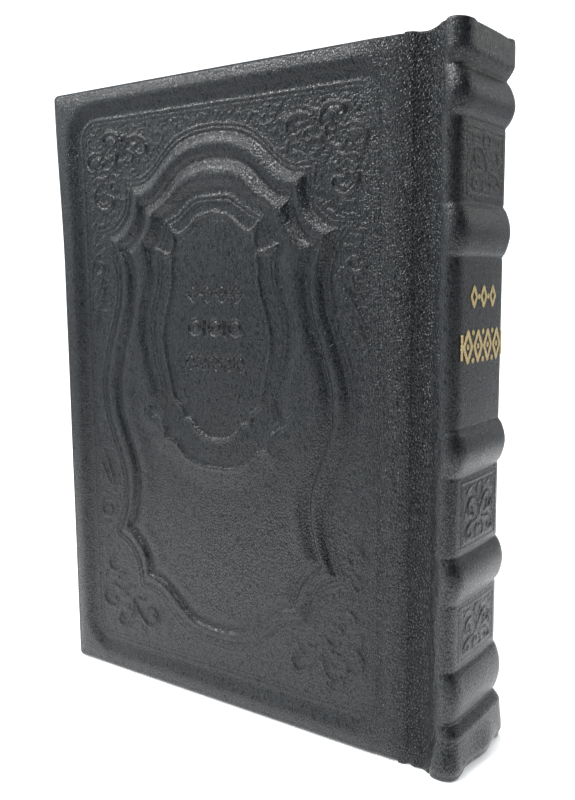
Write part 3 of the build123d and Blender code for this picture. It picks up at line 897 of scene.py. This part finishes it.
def build_cover(name, side):
    u, v = np.meshgrid(GRID_U, GRID_V)
    verts = [np.stack([u.ravel() - DATUM_U, side * OUTSIDE_Y.ravel(), v.ravel()], 1)]
    faces = grid_faces(*u.shape)
    _, _, row, column, _ = outline(EDGE_R)
    previous = (row * len(GRID_U) + column).tolist()
    start, size = u.size, len(previous)
    for ring_u, ring_y, ring_v in edge_rings():
        verts.append(np.stack([ring_u - DATUM_U, side * ring_y, ring_v], 1))
        current = list(range(start, start + size))
        start += size
        for k in range(size):
            k_next = (k + 1) % size
            a, b = previous[k], previous[k_next]
            # at the corners several ring points follow one grid point
            faces.append(([a, b] if a != b else [a]) + [current[k_next], current[k]])
        previous = current
    faces.append(previous[::-1])
    verts = np.vstack(verts)
    # the leather stands a little proud at the head and flares at the head's fore corner
    x, z = verts[:, 0].copy(), verts[:, 2].copy()
    verts[:, 0] -= 2.3 * ease((z - 168) / 72) * (1 - ease((x + DATUM_U) / 26))
    verts[:, 2] += 0.9 * ease((z - 150) / 90)
    return make_piece(name, verts, faces, COVER_LEATHER)


for side, word in SIDES:
    cover = build_cover(f"{word}_cover_leather_skin", side)
    register(cover, f"{word}_cover_leather", body=f"{word}_cover")


# --- spine leather: a section from joint to joint, swollen over bands and caps ---

# raised bands: z from, z to
BANDS = [(215.5, 228.0), (173.0, 188.0), (102.6, 116.3), (60.0, 74.0), (18.5, 35.0)]
# tooled boxes fill the gaps below bands 0, 2 and 3
BOXES = [(BANDS[k + 1][1], BANDS[k][0]) for k in (0, 2, 3)]
BOX_HALF_WIDTH = 13.6
# half section on the +Y side, x and y
SPINE_WALL = "78.5 16.6, 78.55 17.1, 78.7 17.5, 79 17.85"
SPINE_SHOULDER = ("79 17.85, 79.9 18.42, 80.9 18.92, 82 19.3, 83.1 19.36, 84.2 19.12, "
                  "85.3 18.42, 86.1 17.3, 86.55 16, 86.75 14.6")
# scrolls of a box, right half: half width, height, points from the box's centre
BOX_SCROLLS = [
    (0.75, 0.5, "0 -1.2, 2.2 2.6, 5.2 4.6, 8.2 4.2, 9.8 2, 8.8 -0.4, 6.4 -0.6, 5.8 1.2, 7.2 2.2"),
    (0.75, 0.5, "1.2 -2, 4 -3.2, 7.2 -3.4, 10.2 -5, 10.8 -7.2, 8.8 -8, 7 -6.8, 8 -5.6"),
    (0.7, 0.42, "2 -4, 3.4 -6.6, 3 -8.2, 1.4 -8.6"),
    (0.7, 0.45, "1.4 4.2, 2.6 6.6, 2 8.4, 0 8.9"),
    (0.7, 0.42, "5 7.4, 7.4 8.4, 10 7.6, 11.2 5.6"),
    (0.6, 0.36, "11 2.6, 11.8 0, 11.4 -2.6"),
]
# balls of a box: across, up, radius
BOX_BALLS = [(0, 3.0, 0.95), (0, -5.4, 0.95), (4.6, -1.2, 0.8), (-4.6, -1.2, 0.8),
             (10.4, 8.4, 0.7), (-10.4, 8.4, 0.7)]
# how the leather turns over its end, step by step: inward and below the end
LIP = np.array([
    [0.1, 0.45, 1.2, 2.3, 3.8, 5.4, 6.9, 7.9, 8.25, 7.8, 6.2, 4.3],             # crown, inward
    [2.3, 1.35, 0.6, 0.18, 0.0, 0.05, 0.35, 0.95, 1.6, 2.15, 2.2, 3.6],         # crown, below
    [0.0, 0.03, 0.14, 0.36, 0.62, 0.88, 1.08, 1.2, 1.25, 1.25, 1.25, 1.25],     # side, inward
    [1.1, 0.62, 0.26, 0.06, 0.0, 0.06, 0.26, 0.6, 0.9, 1.2, 1.6, 3.6],          # side, below
]).T
INNER_SKIN = -1.25           # offset of the inner skin along the section's normal
INNER_LEVELS = (225.0, 160.0, 80.0, 15.0)


def crown_x(y, half_width):
    return SPINE_X + SPINE_CROWN * (1 - (y / half_width) ** 2)


def spine_section():
    """Section x, y from the front (-Y) joint over the crown to the back."""
    shoulder = smooth_line(points(SPINE_SHOULDER), step=0.42)
    half_width = shoulder[-1, 1]
    y = np.linspace(half_width, 0, int(half_width / 0.5) + 1)[1:]
    crown = np.column_stack([crown_x(y, half_width), y])
    half = np.vstack([points(SPINE_WALL), shoulder[1:], crown])
    return np.vstack([half * [1, -1], half[:-1][::-1]])


def stamp_box(relief, low, high):
    """Double frame, scrolls, balls and a centre leaf between two bands."""
    low, high = low + 3.4, high - 3.4
    for inset, rise in ((0.0, 0.30), (1.6, 0.22)):
        right, bottom, top = BOX_HALF_WIDTH - inset, low + inset, high - inset
        corners = [(-right, bottom), (right, bottom), (right, top), (-right, top)]
        relief.polygon(corners, half_width=0.55, high=rise)
    middle = (low + high) / 2
    scale = (high - low) / 2 / 10.4
    for half_width, rise, text in BOX_SCROLLS:
        for side in (1, -1):
            line = points(text) * [side * 0.93, scale] + [0, middle]
            relief.stroke(line, half_width * 0.85, rise * 1.1)
    for across, up, radius in BOX_BALLS:
        relief.disc((across, middle + up * scale), radius, high=0.4)
    leaf = points("0 -3.2, 1.3 -1, 0 1.6, -1.3 -1") * [1, scale] + [0, middle]
    relief.dome(leaf, high=0.5, edge=0.9)


def spine_relief(across, levels):
    """Outward swelling and tooling at each place: across the leather, up the spine."""
    relief = Relief(across, levels)
    s, z = relief.u, relief.v
    away = np.abs(s)
    # full on the crown, fading down the shoulders
    swell = (1 - 0.50 * ease((away - 17) / 4.5)) * (1 - ease((away - 19.5) / 4.5))
    height = np.zeros_like(s)
    for low, high in BANDS:
        t = np.clip((z - low + 1.2) / (high - low + 2.4), 0, 1)
        height = np.maximum(height, (3.0 if low > 200 else 2.4) * np.sin(math.pi * t) ** 0.9)
    tail_cap = 2.6 * ease((18.6 - z) / 5) * (1 - 0.35 * ease((3.5 - z) / 3.5))
    head_cap = 2.6 * ease((z - 228) / 5) * (1 - 0.30 * ease((z - 238) / 4))
    height = np.maximum(height, np.maximum(tail_cap, head_cap)) * swell
    # the tail cap bulges at its foot, most on the front side, and rounds in where it stands
    bulge = 0.30 + bell(s, at=1.0, width=8.0, high=0.55) + 0.70 * ease((-s - 15) / 4.5)
    height += 2.9 * bulge * (1 - ease((z - 1.5) / 13)) * (1 - ease((away - 22) / 4))
    round_in = 1 - np.sqrt(1 - np.clip((3.2 - z) / 3.2, 0, 0.98) ** 2)
    height -= 0.9 * round_in * (1 - ease((away - 20) / 4))
    # a soft press line on both sides of each band
    for low, high in BANDS:
        for at in (low - 0.6, high + 0.6):
            height -= bell(z, at=at, width=0.8, high=0.30) * swell
    for low, high in BOXES:
        stamp_box(relief, low, high)
    height += relief.take() * (0.62 + 0.2 * (1 - ease((z - 110) / 60)))
    # slow waviness
    rng = np.random.default_rng(5)
    for _ in range(18):
        rate_s, rate_z = rng.normal(0, 0.10), rng.normal(0, 0.07)
        height += 0.012 * swell * np.sin(rate_s * s + rate_z * z + rng.uniform(0, 6.28))
    return height


def build_spine():
    """A closed loop of rows: up the outside, over the head, down the inside, round the tail."""
    section = spine_section()
    tangent = np.gradient(section, axis=0)
    tangent /= np.linalg.norm(tangent, axis=1)[:, None]
    normal = tangent[:, ::-1] * [1, -1]
    across = arc_length(section)
    across = across - across[-1] / 2
    levels = np.arange(1.2, 239.01, 0.5)
    heights = spine_relief(across, levels)

    away, x = np.abs(across), section[:, 0]
    cap_reach = ease((15.5 - away) / 4)          # where the leather turns over the headband
    head = 240.9 + 2.3 * ease((x - 76.5) / 6.5) - bell(away, at=15.5, width=3.0, high=0.5)
    tail = np.zeros_like(x)
    turn_depth = 1.6 + 1.6 * cap_reach

    def row(z, offset):
        return np.column_stack([section + normal * offset[:, None], z])

    def lip(end, way, offset):
        rows = []
        for crown_in, crown_below, side_in, side_below in LIP:
            inward = crown_in * cap_reach + side_in * (1 - cap_reach)
            below = crown_below * cap_reach + side_below * (1 - cap_reach)
            rows.append(row(end + way * below, offset - inward))
        return rows

    rows = []
    for j, z in enumerate(levels):
        # near both ends the rows stretch to meet the shaped ends
        share = (z - levels[0]) / (levels[-1] - levels[0])
        stretched = tail + turn_depth + (head - tail - 2 * turn_depth) * share
        near_end = max(ease((share - 0.93) / 0.07), 1 - ease(share / 0.07))
        rows.append(row(z * (1 - near_end) + stretched * near_end, heights[j]))
    rows += lip(head, -1, heights[-1])
    for z in INNER_LEVELS:
        rows.append(row(np.full_like(x, z), np.full_like(x, INNER_SKIN)))
    rows += lip(tail, 1, heights[0])[::-1]

    count, size = len(rows), len(section)
    faces = grid_faces(count, size, wrap=True)
    faces.append([j * size for j in range(count)])
    faces.append([j * size + size - 1 for j in range(count)][::-1])
    spine = make_piece("spine_leather_skin", np.vstack(rows), faces, SPINE_LEATHER)
    register(spine, "spine_leather", body="spine")


build_spine()


# --- joints: leather in the groove between cover and spine, paper behind it ---

# x and |y| from the spine to the cover
JOINT_OUTER = even_profile(
    "82.2 19.2, 81.4 19.02, 80.6 18.78, 79.7 18.42, 78.8 17.92, 77.9 17.44, 77 17.18, "
    "76.1 17.16, 75 17.44, 73.8 17.98, 72.6 18.62, 71.7 19.2, 71 19.66, 70.1 20.12, "
    "69 20.38, 68 20.4", 45)
JOINT_INNER = even_profile(
    "82.1 18.95, 80.2 18.3, 78.9 17.3, 78 16.5, 76 16.2, 72.6 16.25, 71.15 16.6, 70.95 18.7, "
    "70 19.8, 68.1 20.2", 45)
PAPER_OUTER = even_profile("74.4 15.98, 73 15.98, 71.6 15.98, 70 15.98", 15)
PAPER_INNER = even_profile("74.4 15.86, 73 15.86, 71.6 15.86, 70 15.86", 15)
# how the strip closes in at its ends, in shares of the end rounding
END_STEPS = np.array([0.0, 0.03, 0.1, 0.22, 0.4, 0.62, 0.85])


def no_change(x):
    return 0 * x


def strip(name, outer, inner, span, side, material, levels, end_round,
          lift=no_change, flare=no_change):
    """A long closed strip between two profiles.

    lift raises its head and flare pushes its tail outwards, both by x.
    """
    bottom, top = span
    count = len(outer)
    ends = end_round * END_STEPS
    heights = np.r_[bottom + ends, np.linspace(bottom + end_round, top - end_round, levels),
                    (top - ends)[::-1]]
    phase = np.random.default_rng(3).uniform(0, 6.28, 6)
    place = np.arange(count)
    wave_share = np.minimum(place / 8, (count - 1 - place) / 12).clip(0, 1)
    verts = []
    for z in heights:
        # the edge rounds over at both ends
        near = min(min(z - bottom, top - z) / end_round, 1)
        full = math.sqrt(max(0.04, 1 - (1 - near) ** 2))
        wave = 0.05 * (math.sin(z * 0.11 + phase[0]) + math.sin(z * 0.31 + phase[1])
                       + 0.5 * math.sin(z * 0.83 + phase[2]))
        waved = outer + np.column_stack([np.zeros(count), wave * wave_share])
        middle = (waved + inner) / 2
        x, y = np.vstack([middle + (waved - middle) * full,
                          (middle + (inner - middle) * full)[::-1]]).T
        out = flare(x) * (1 - ease(z / 10))
        up = lift(x) * ease((z - 205) / (top - 205))
        verts.append(np.column_stack([x, side * (y + out), z + up]))
    size = 2 * count
    last = (len(heights) - 1) * size
    faces = tube_faces(len(heights), size)[:-2]
    # the ends are closed with quads from the outer to the inner profile
    for k in range(count - 1):
        cap = [k, k + 1, size - 2 - k, size - 1 - k]
        faces += [cap[::-1], [last + i for i in cap]]
    return make_piece(name, np.vstack(verts), faces, material, sharp_angle=50)


def joint_flare(side):
    """The tail of the joint stands out more at the front than at the back."""
    most = 2.6 if side < 0 else 0.7
    return lambda x: most * ease((x - 70.8) / 3.5) * (1 - 0.55 * ease((x - 79) / 3))


def bend(piece):
    """Bake a piece's placement into its mesh."""
    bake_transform(piece)


for side, word in SIDES:
    joint = strip(f"{word}_joint_leather_strip", JOINT_OUTER, JOINT_INNER, (0.12, 240.9), side,
                  JOINT_LEATHER, levels=240, end_round=0.9,
                  lift=lambda x: 1.6 * ease((x - 73.5) / 7), flare=joint_flare(side))
    register(joint, f"{word}_joint_leather")
    bend(joint)
    lining = strip(f"{word}_endpaper_joint_strip", PAPER_OUTER, PAPER_INNER, (3.0, 237.0), side,
                   ENDPAPER, levels=90, end_round=0.02)
    register(lining, f"{word}_endpaper_joint")
    bend(lining)


# --- paper: pastedowns, flyleaves, sections of leaves, folded backs ---

def sheet(x_line, z_line, middle, thick, ripple=0.0, seed=1):
    """One thin closed leaf in the XZ plane; middle (its y) and thick may vary along x."""
    x, z = np.meshgrid(x_line, z_line)
    phase = np.random.default_rng(seed).uniform(0, 6.28, 4)
    y = middle + ripple * (np.sin(x * 0.05 + phase[0]) * np.sin(z * 0.035 + phase[1])
                           + 0.5 * np.sin(z * 0.09 + phase[2]))
    half = np.asarray(thick) / 2
    grids = [np.stack([x, y + way * half, z], -1).reshape(-1, 3) for way in (-1, 1)]
    return np.vstack(grids), slab_faces(*x.shape)


def paper_piece(name, parts, material, body, node):
    piece = make_piece(name, *join(parts), material, sharp_angle=40)
    register(piece, node, body)


for side, word in SIDES:
    pastedown = sheet(np.linspace(-89.3, 70.2, 30), np.linspace(3.0, COVER_H - 3.0, 40),
                      side * 15.91, thick=0.12, ripple=0.012, seed=4)
    paper_piece(f"{word}_pastedown_sheet", [pastedown], ENDPAPER, f"{word}_cover",
                f"{word}_pastedown")
    flyleaf = sheet(np.linspace(PAGE_FORE, 74.1, 40),
                    np.linspace(PAGE_INSET, COVER_H - PAGE_INSET, 50),
                    side * 15.72, thick=0.14, ripple=0.02, seed=5)
    paper_piece(f"{word}_flyleaf_sheet", [flyleaf], ENDPAPER, f"{word}_flyleaf",
                f"{word}_flyleaf")

SECTIONS = 20
SECTION_MIDDLE = (SECTIONS - 1) / 2
SECTION_PITCH, SECTION_THICK = 1.56, 1.5
LEAVES = 9                   # modelled in each section
LEAF_FILL = 0.80             # share of its place that a leaf fills
# x of a leaf's columns after the fore edge, closer towards the fold
LEAF_COLUMNS = [-60, -30, 0, 25, 45, 58, 64, 67, 69.5, 72, PAGE_FOLD]


def build_section(index):
    """One section: leaves with slightly uneven edges that narrow towards the fold."""
    rng = np.random.default_rng(100 + index)
    middle = (index - SECTION_MIDDLE) * SECTION_PITCH
    parts = []
    for k in range(LEAVES):
        t = (k + 0.5) / LEAVES - 0.5
        fore = PAGE_FORE + abs(rng.normal(0, 0.10)) + 0.12 * abs(t)
        bottom = PAGE_INSET + abs(rng.normal(0, 0.07))
        top = COVER_H - PAGE_INSET - abs(rng.normal(0, 0.07))
        x = np.array([fore, *LEAF_COLUMNS])
        total = SECTION_THICK - np.maximum(x - 67.0, 0) / 7.2 * 0.9
        parts.append(sheet(x, np.linspace(bottom, top, 6), middle + t * total,
                           total / LEAVES * LEAF_FILL))
    number = f"{index + 1:02d}"
    paper_piece(f"section_{number}_leaves", parts, PAGE if index % 2 else PAGE_COOL,
                f"leaf_{number}", f"section_{number}")


for index in range(SECTIONS):
    build_section(index)

# folded backs: x, pitch of the sections there, half width of one fold
FOLD_STATIONS = np.array([
    (74.55, 1.56, 0.50), (76.2, 1.565, 0.52), (77.8, 1.57, 0.56), (79.2, 1.61, 0.62),
    (80.6, 1.72, 0.74), (81.8, 1.79, 0.82), (82.6, 1.80, 0.78), (83.0, 1.80, 0.52),
    (83.15, 1.80, 0.10),
])


def build_backs():
    x, pitch, half_width = FOLD_STATIONS.T
    levels = 4
    parts = []
    for i in range(SECTIONS):
        middle = (i - SECTION_MIDDLE) * pitch
        ring_x = np.r_[x, x[::-1]]
        ring_y = np.r_[middle - half_width, (middle + half_width)[::-1]]
        bottom = PAGE_INSET + 0.05 * (i % 3)
        top = COVER_H - PAGE_INSET - 0.05 * ((i + 1) % 3)
        verts = [np.column_stack([ring_x, ring_y, np.full_like(ring_x, z)])
                 for z in np.linspace(bottom, top, levels)]
        parts.append((np.vstack(verts), tube_faces(levels, len(ring_x))))
    paper_piece("section_backs_folds", parts, BACKS, "spine", "section_backs")


build_backs()


# --- head and tail bands: a bead of wound silk with a skirt of threads ---

BEAD_INSET = 2.58            # from the cover's head or tail to the bead's middle
SILK_HALF = 16.5             # half length along Y
SILK_TURNS = 52


def build_silk_band(name, node, up):
    """up is 1 at the head and -1 at the tail."""
    bead_z = COVER_H - BEAD_INSET if up > 0 else BEAD_INSET
    ring, levels = 14, 14
    y = np.linspace(-SILK_HALF, SILK_HALF, SILK_TURNS * 6)
    turn = (y + SILK_HALF) / (2 * SILK_HALF) * SILK_TURNS * 2 * math.pi
    thread = np.abs(np.sin(turn / 2))

    radius = (0.80 + 0.09 * thread)[:, None]
    angle = 2 * math.pi * np.arange(ring) / ring
    bead = np.stack([83.2 + radius * np.cos(angle), np.repeat(y[:, None], ring, axis=1),
                     bead_z + radius * np.sin(angle)], -1).reshape(-1, 3)

    skirt_y, skirt_z = np.meshgrid(y, np.linspace(bead_z - up * 0.6, bead_z - up * 9.6, levels))
    skirt = [np.stack([np.broadcast_to(x, skirt_y.shape), skirt_y, skirt_z], -1).reshape(-1, 3)
             for x in (84.12 + 0.05 * thread, 83.95)]
    verts, faces = join([(bead, tube_faces(len(y), ring)),
                         (np.vstack(skirt), slab_faces(levels, len(y)))])
    register(make_piece(name, verts, faces, SILK), node, body="spine")


build_silk_band("headband_silk_wound", "headband", up=1)
build_silk_band("tailband_silk_wound", "tailband", up=-1)


# --- gilt ornament on the spine: lozenges, discs and bars with slightly uneven edges ---

GILT_SUNK, GILT_PROUD = -0.02, 0.07     # x of the leaf's underside and face from its bed


def gilt_point(y, z, lift):
    return np.stack([crown_x(y, half_width=16.65) + 0.05 + lift, y, z], -1)


def gilt_ribbon(corners, half_width, rng, closed=True):
    corners = np.array(corners, float)
    ends = np.roll(corners, -1, axis=0) if closed else corners[1:]
    dense = []
    for a, b in zip(corners, ends):
        count = max(2, int(np.hypot(*(b - a)) / 0.35))
        t = np.linspace(0, 1, count, endpoint=False)[:, None]
        dense.append(a * (1 - t) + b * t)
    if not closed:
        dense.append(corners[-1:])
    line = np.vstack(dense)
    if closed:
        tangent = np.roll(line, -1, 0) - np.roll(line, 1, 0)
    else:
        tangent = np.gradient(line, axis=0)
    tangent /= np.maximum(np.linalg.norm(tangent, axis=1), 1e-9)[:, None]
    widths = half_width * (1 + 0.10 * rng.normal(size=len(line)))
    aside = tangent[:, ::-1] * [-1, 1] * widths[:, None]
    left, right = (line + aside).T, (line - aside).T
    rings = np.stack([gilt_point(*left, GILT_SUNK), gilt_point(*right, GILT_SUNK),
                      gilt_point(*right, GILT_PROUD), gilt_point(*left, GILT_PROUD)], 1)
    return rings.reshape(-1, 3), tube_faces(len(line), 4, wrap=closed)


def gilt_disc(y, z, radius, rng, count=20):
    radii = radius * (1 + 0.05 * rng.normal(size=count))
    angle = 2 * math.pi * np.arange(count) / count
    rim = y + radii * np.cos(angle), z + radii * np.sin(angle)
    verts = np.vstack([gilt_point(*rim, GILT_SUNK), gilt_point(*rim, GILT_PROUD)])
    return verts, tube_faces(2, count)


def gilt_lozenge(y, z, half_y, half_z, half_width, rng):
    corners = [(y - half_y, z), (y, z + half_z), (y + half_y, z), (y, z - half_z)]
    return gilt_ribbon(corners, half_width, rng)


def build_gilt():
    rng = np.random.default_rng(21)
    parts = []
    # lower row: four lozenges with discs, small discs between, a bar at each end
    row = 143.5
    for y in (-11.4, -3.8, 3.8, 11.4):
        parts.append(gilt_lozenge(y, row, 2.9, 4.8, half_width=0.78, rng=rng))
        parts.append(gilt_disc(y, row, 0.95, rng))
    for y in (-7.6, 0, 7.6):
        parts.append(gilt_disc(y, row + 4.5, 0.9, rng))
        parts.append(gilt_disc(y, row - 4.5, 0.9, rng))
    for y in (-15.6, 15.6):
        parts.append(gilt_ribbon([(y, row - 4.1), (y, row + 4.1)], 0.7, rng, closed=False))
    # upper row: three smaller lozenges and two discs
    row = 159.5
    for y in (-7.4, 0, 7.4):
        parts.append(gilt_lozenge(y, row, 2.0, 3.1, half_width=0.68, rng=rng))
    for y in (-3.7, 3.7):
        parts.append(gilt_disc(y, row, 0.9, rng))
    gilt = make_piece("title_gilt_leaf", *join(parts), GOLD, smooth=False)
    register(gilt, "title_gilt", body="spine")


build_gilt()


# --- CAD pieces that keep their shape and get a material ---

for node, material in (
    ("front_padding", FOAM), ("back_padding", FOAM), ("front_board", BOARD),
    ("back_board", BOARD), ("cap_pads", CORE), ("raised_bands", CORE),
    ("spine_inlay", BOARD), ("spine_lining", LINING),
):
    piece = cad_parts[node]
    if not piece.material_slots:
        piece.data.materials.append(material)
    for slot in piece.material_slots:
        slot.material = material


# --- floor, room, lights and camera; everything below is in metres ---

def floor_material():
    """Pale floor that glows softly and so lights the book from below; in reflections its glow is
    painted light, brightest near the book and fading away from it.
    """
    m = material_shader("pale_floor")
    place = m.coords()
    clouds = m.noise(place, scale=3.0, detail=2)
    glossy = m.node("ShaderNodeLightPath").outputs["Is Glossy Ray"]
    away = m.node("ShaderNodeVectorMath", {0: place}, operation="LENGTH").outputs["Value"]
    # painted glow seen only in reflections, strongest near the book, standing in for bounce light
    near = m.map_range(away, (0.20, 0.60), (0.88, 0.0))
    plain = m.math("MULTIPLY", m.math("SUBTRACT", 1.0, glossy), 0.42)
    pale = m.ramp(clouds, {0.3: (0.84, 0.84, 0.84), 0.7: (0.88, 0.88, 0.88)})
    reflected = m.ramp(near, {0.0: (0.50, 0.51, 0.53), 0.88: (1.0, 1.0, 1.0)})
    return m.finish(
        Base_Color=m.mix("MULTIPLY", glossy, pale, reflected),
        Roughness=0.9,
        Specular_IOR_Level=0.1,
        Emission_Color=(0.97, 0.985, 1.0, 1),
        Emission_Strength=m.math("MULTIPLY_ADD", glossy, near, plain))


def build_backdrop():
    """Floor that sweeps up into a wall behind the book."""
    bend_y, bend_r = 1.2, 1.0
    profile = [(-3.0, 0.0), (bend_y, 0.0)]
    for k in range(1, 13):
        angle = math.pi / 2 * k / 12
        profile.append((bend_y + bend_r * math.sin(angle), bend_r - bend_r * math.cos(angle)))
    profile.append((bend_y + bend_r, 4.0))
    columns = np.linspace(-3.0, 3.0, 7)
    verts = [(x, y, z) for x in columns for y, z in profile]
    faces = grid_faces(len(columns), len(profile))
    backdrop = new_mesh("backdrop", verts, faces, floor_material())
    backdrop.location = (0, 0, -0.0002)
    backdrop.rotation_euler = (0, 0, VIEW_YAW)


def build_room():
    """World light: a dim base and three broad bright directions."""
    world = bpy.data.worlds.new("soft_room")
    bpy.context.scene.world = world
    room = Shader(world, "Background")
    direction = room.node("ShaderNodeTexCoord").outputs["Generated"]
    strength = 0.06
    # direction, cosines where the brightness starts and is full, brightness
    for towards, cosines, gain in (
        ((0.55, 0.83, 0.05), (0.55, 1.0), 0.32),        # behind, to the right
        ((-0.35, -0.40, 0.85), (0.40, 0.95), 0.9),      # above the front
        ((-1, -0.30, 0.05), (0.60, 1.0), 1.7),          # the fore-edge side
    ):
        facing = room.node("ShaderNodeVectorMath",
                           {0: direction, 1: Vector(towards).normalized()},
                           operation="DOT_PRODUCT").outputs["Value"]
        glow = room.map_range(facing, cosines, (0.0, gain), interpolation_type="SMOOTHSTEP")
        strength = room.math("ADD", strength, glow)
    room.finish(Strength=strength, Color=(0.93, 0.975, 1.0, 1))


def area_light(name, place, size, power, color=(1, 1, 1), target=(0, 0, 0.12)):
    data = bpy.data.lights.new(name, "AREA")
    data.energy = power
    data.color = color
    data.shape = "SQUARE"
    data.size = size
    light = bpy.data.objects.new(name, data)
    bpy.context.scene.collection.objects.link(light)
    light.location = place
    light.rotation_mode = "QUATERNION"
    light.rotation_quaternion = (Vector(target) - Vector(place)).to_track_quat("-Z", "Y")


def build_camera():
    pitch, roll = -0.13592, -0.00809
    x, y, z = 0.206883 + SHIFT_X * MM, -0.278104, 0.166256
    data = bpy.data.cameras.new("photo_camera")
    camera = bpy.data.objects.new("photo_camera", data)
    bpy.context.scene.collection.objects.link(camera)
    bpy.context.scene.camera = camera
    data.lens = 40.5
    data.sensor_width = 36
    data.clip_start = 0.01
    data.clip_end = 20
    forward = Vector((-math.sin(VIEW_YAW) * math.cos(pitch),
                      math.cos(VIEW_YAW) * math.cos(pitch), math.sin(pitch)))
    level = Vector((math.cos(VIEW_YAW), math.sin(VIEW_YAW), 0))
    upright = level.cross(forward)
    right = level * math.cos(roll) + upright * math.sin(roll)
    up = -level * math.sin(roll) + upright * math.cos(roll)
    camera.matrix_world = Matrix((
        (right.x, up.x, -forward.x, x),
        (right.y, up.y, -forward.y, y),
        (right.z, up.z, -forward.z, z),
        (0, 0, 0, 1)))


build_backdrop()
bpy.context.scene.view_settings.view_transform = "Standard"
bpy.context.scene.view_settings.look = "None"
build_room()
area_light("key_soft", place=(-0.78, -0.72, 1.00), size=0.32, power=10.5,
           color=(1.0, 0.99, 0.97))
area_light("front_top_soft", place=(-0.16, -0.86, 1.10), size=0.32, power=9.5)
area_light("top_soft", place=(0.1, 0.15, 1.5), size=0.9, power=9)
area_light("back_right_soft", place=(0.85, 1.15, 0.7), size=0.8, power=2.5,
           color=(1.0, 0.98, 0.95))
area_light("back_wall_light", place=(0.2, 0.9, 1.6), size=1.2, power=22,
           target=(0.1, 2.0, 0.8))
build_camera()
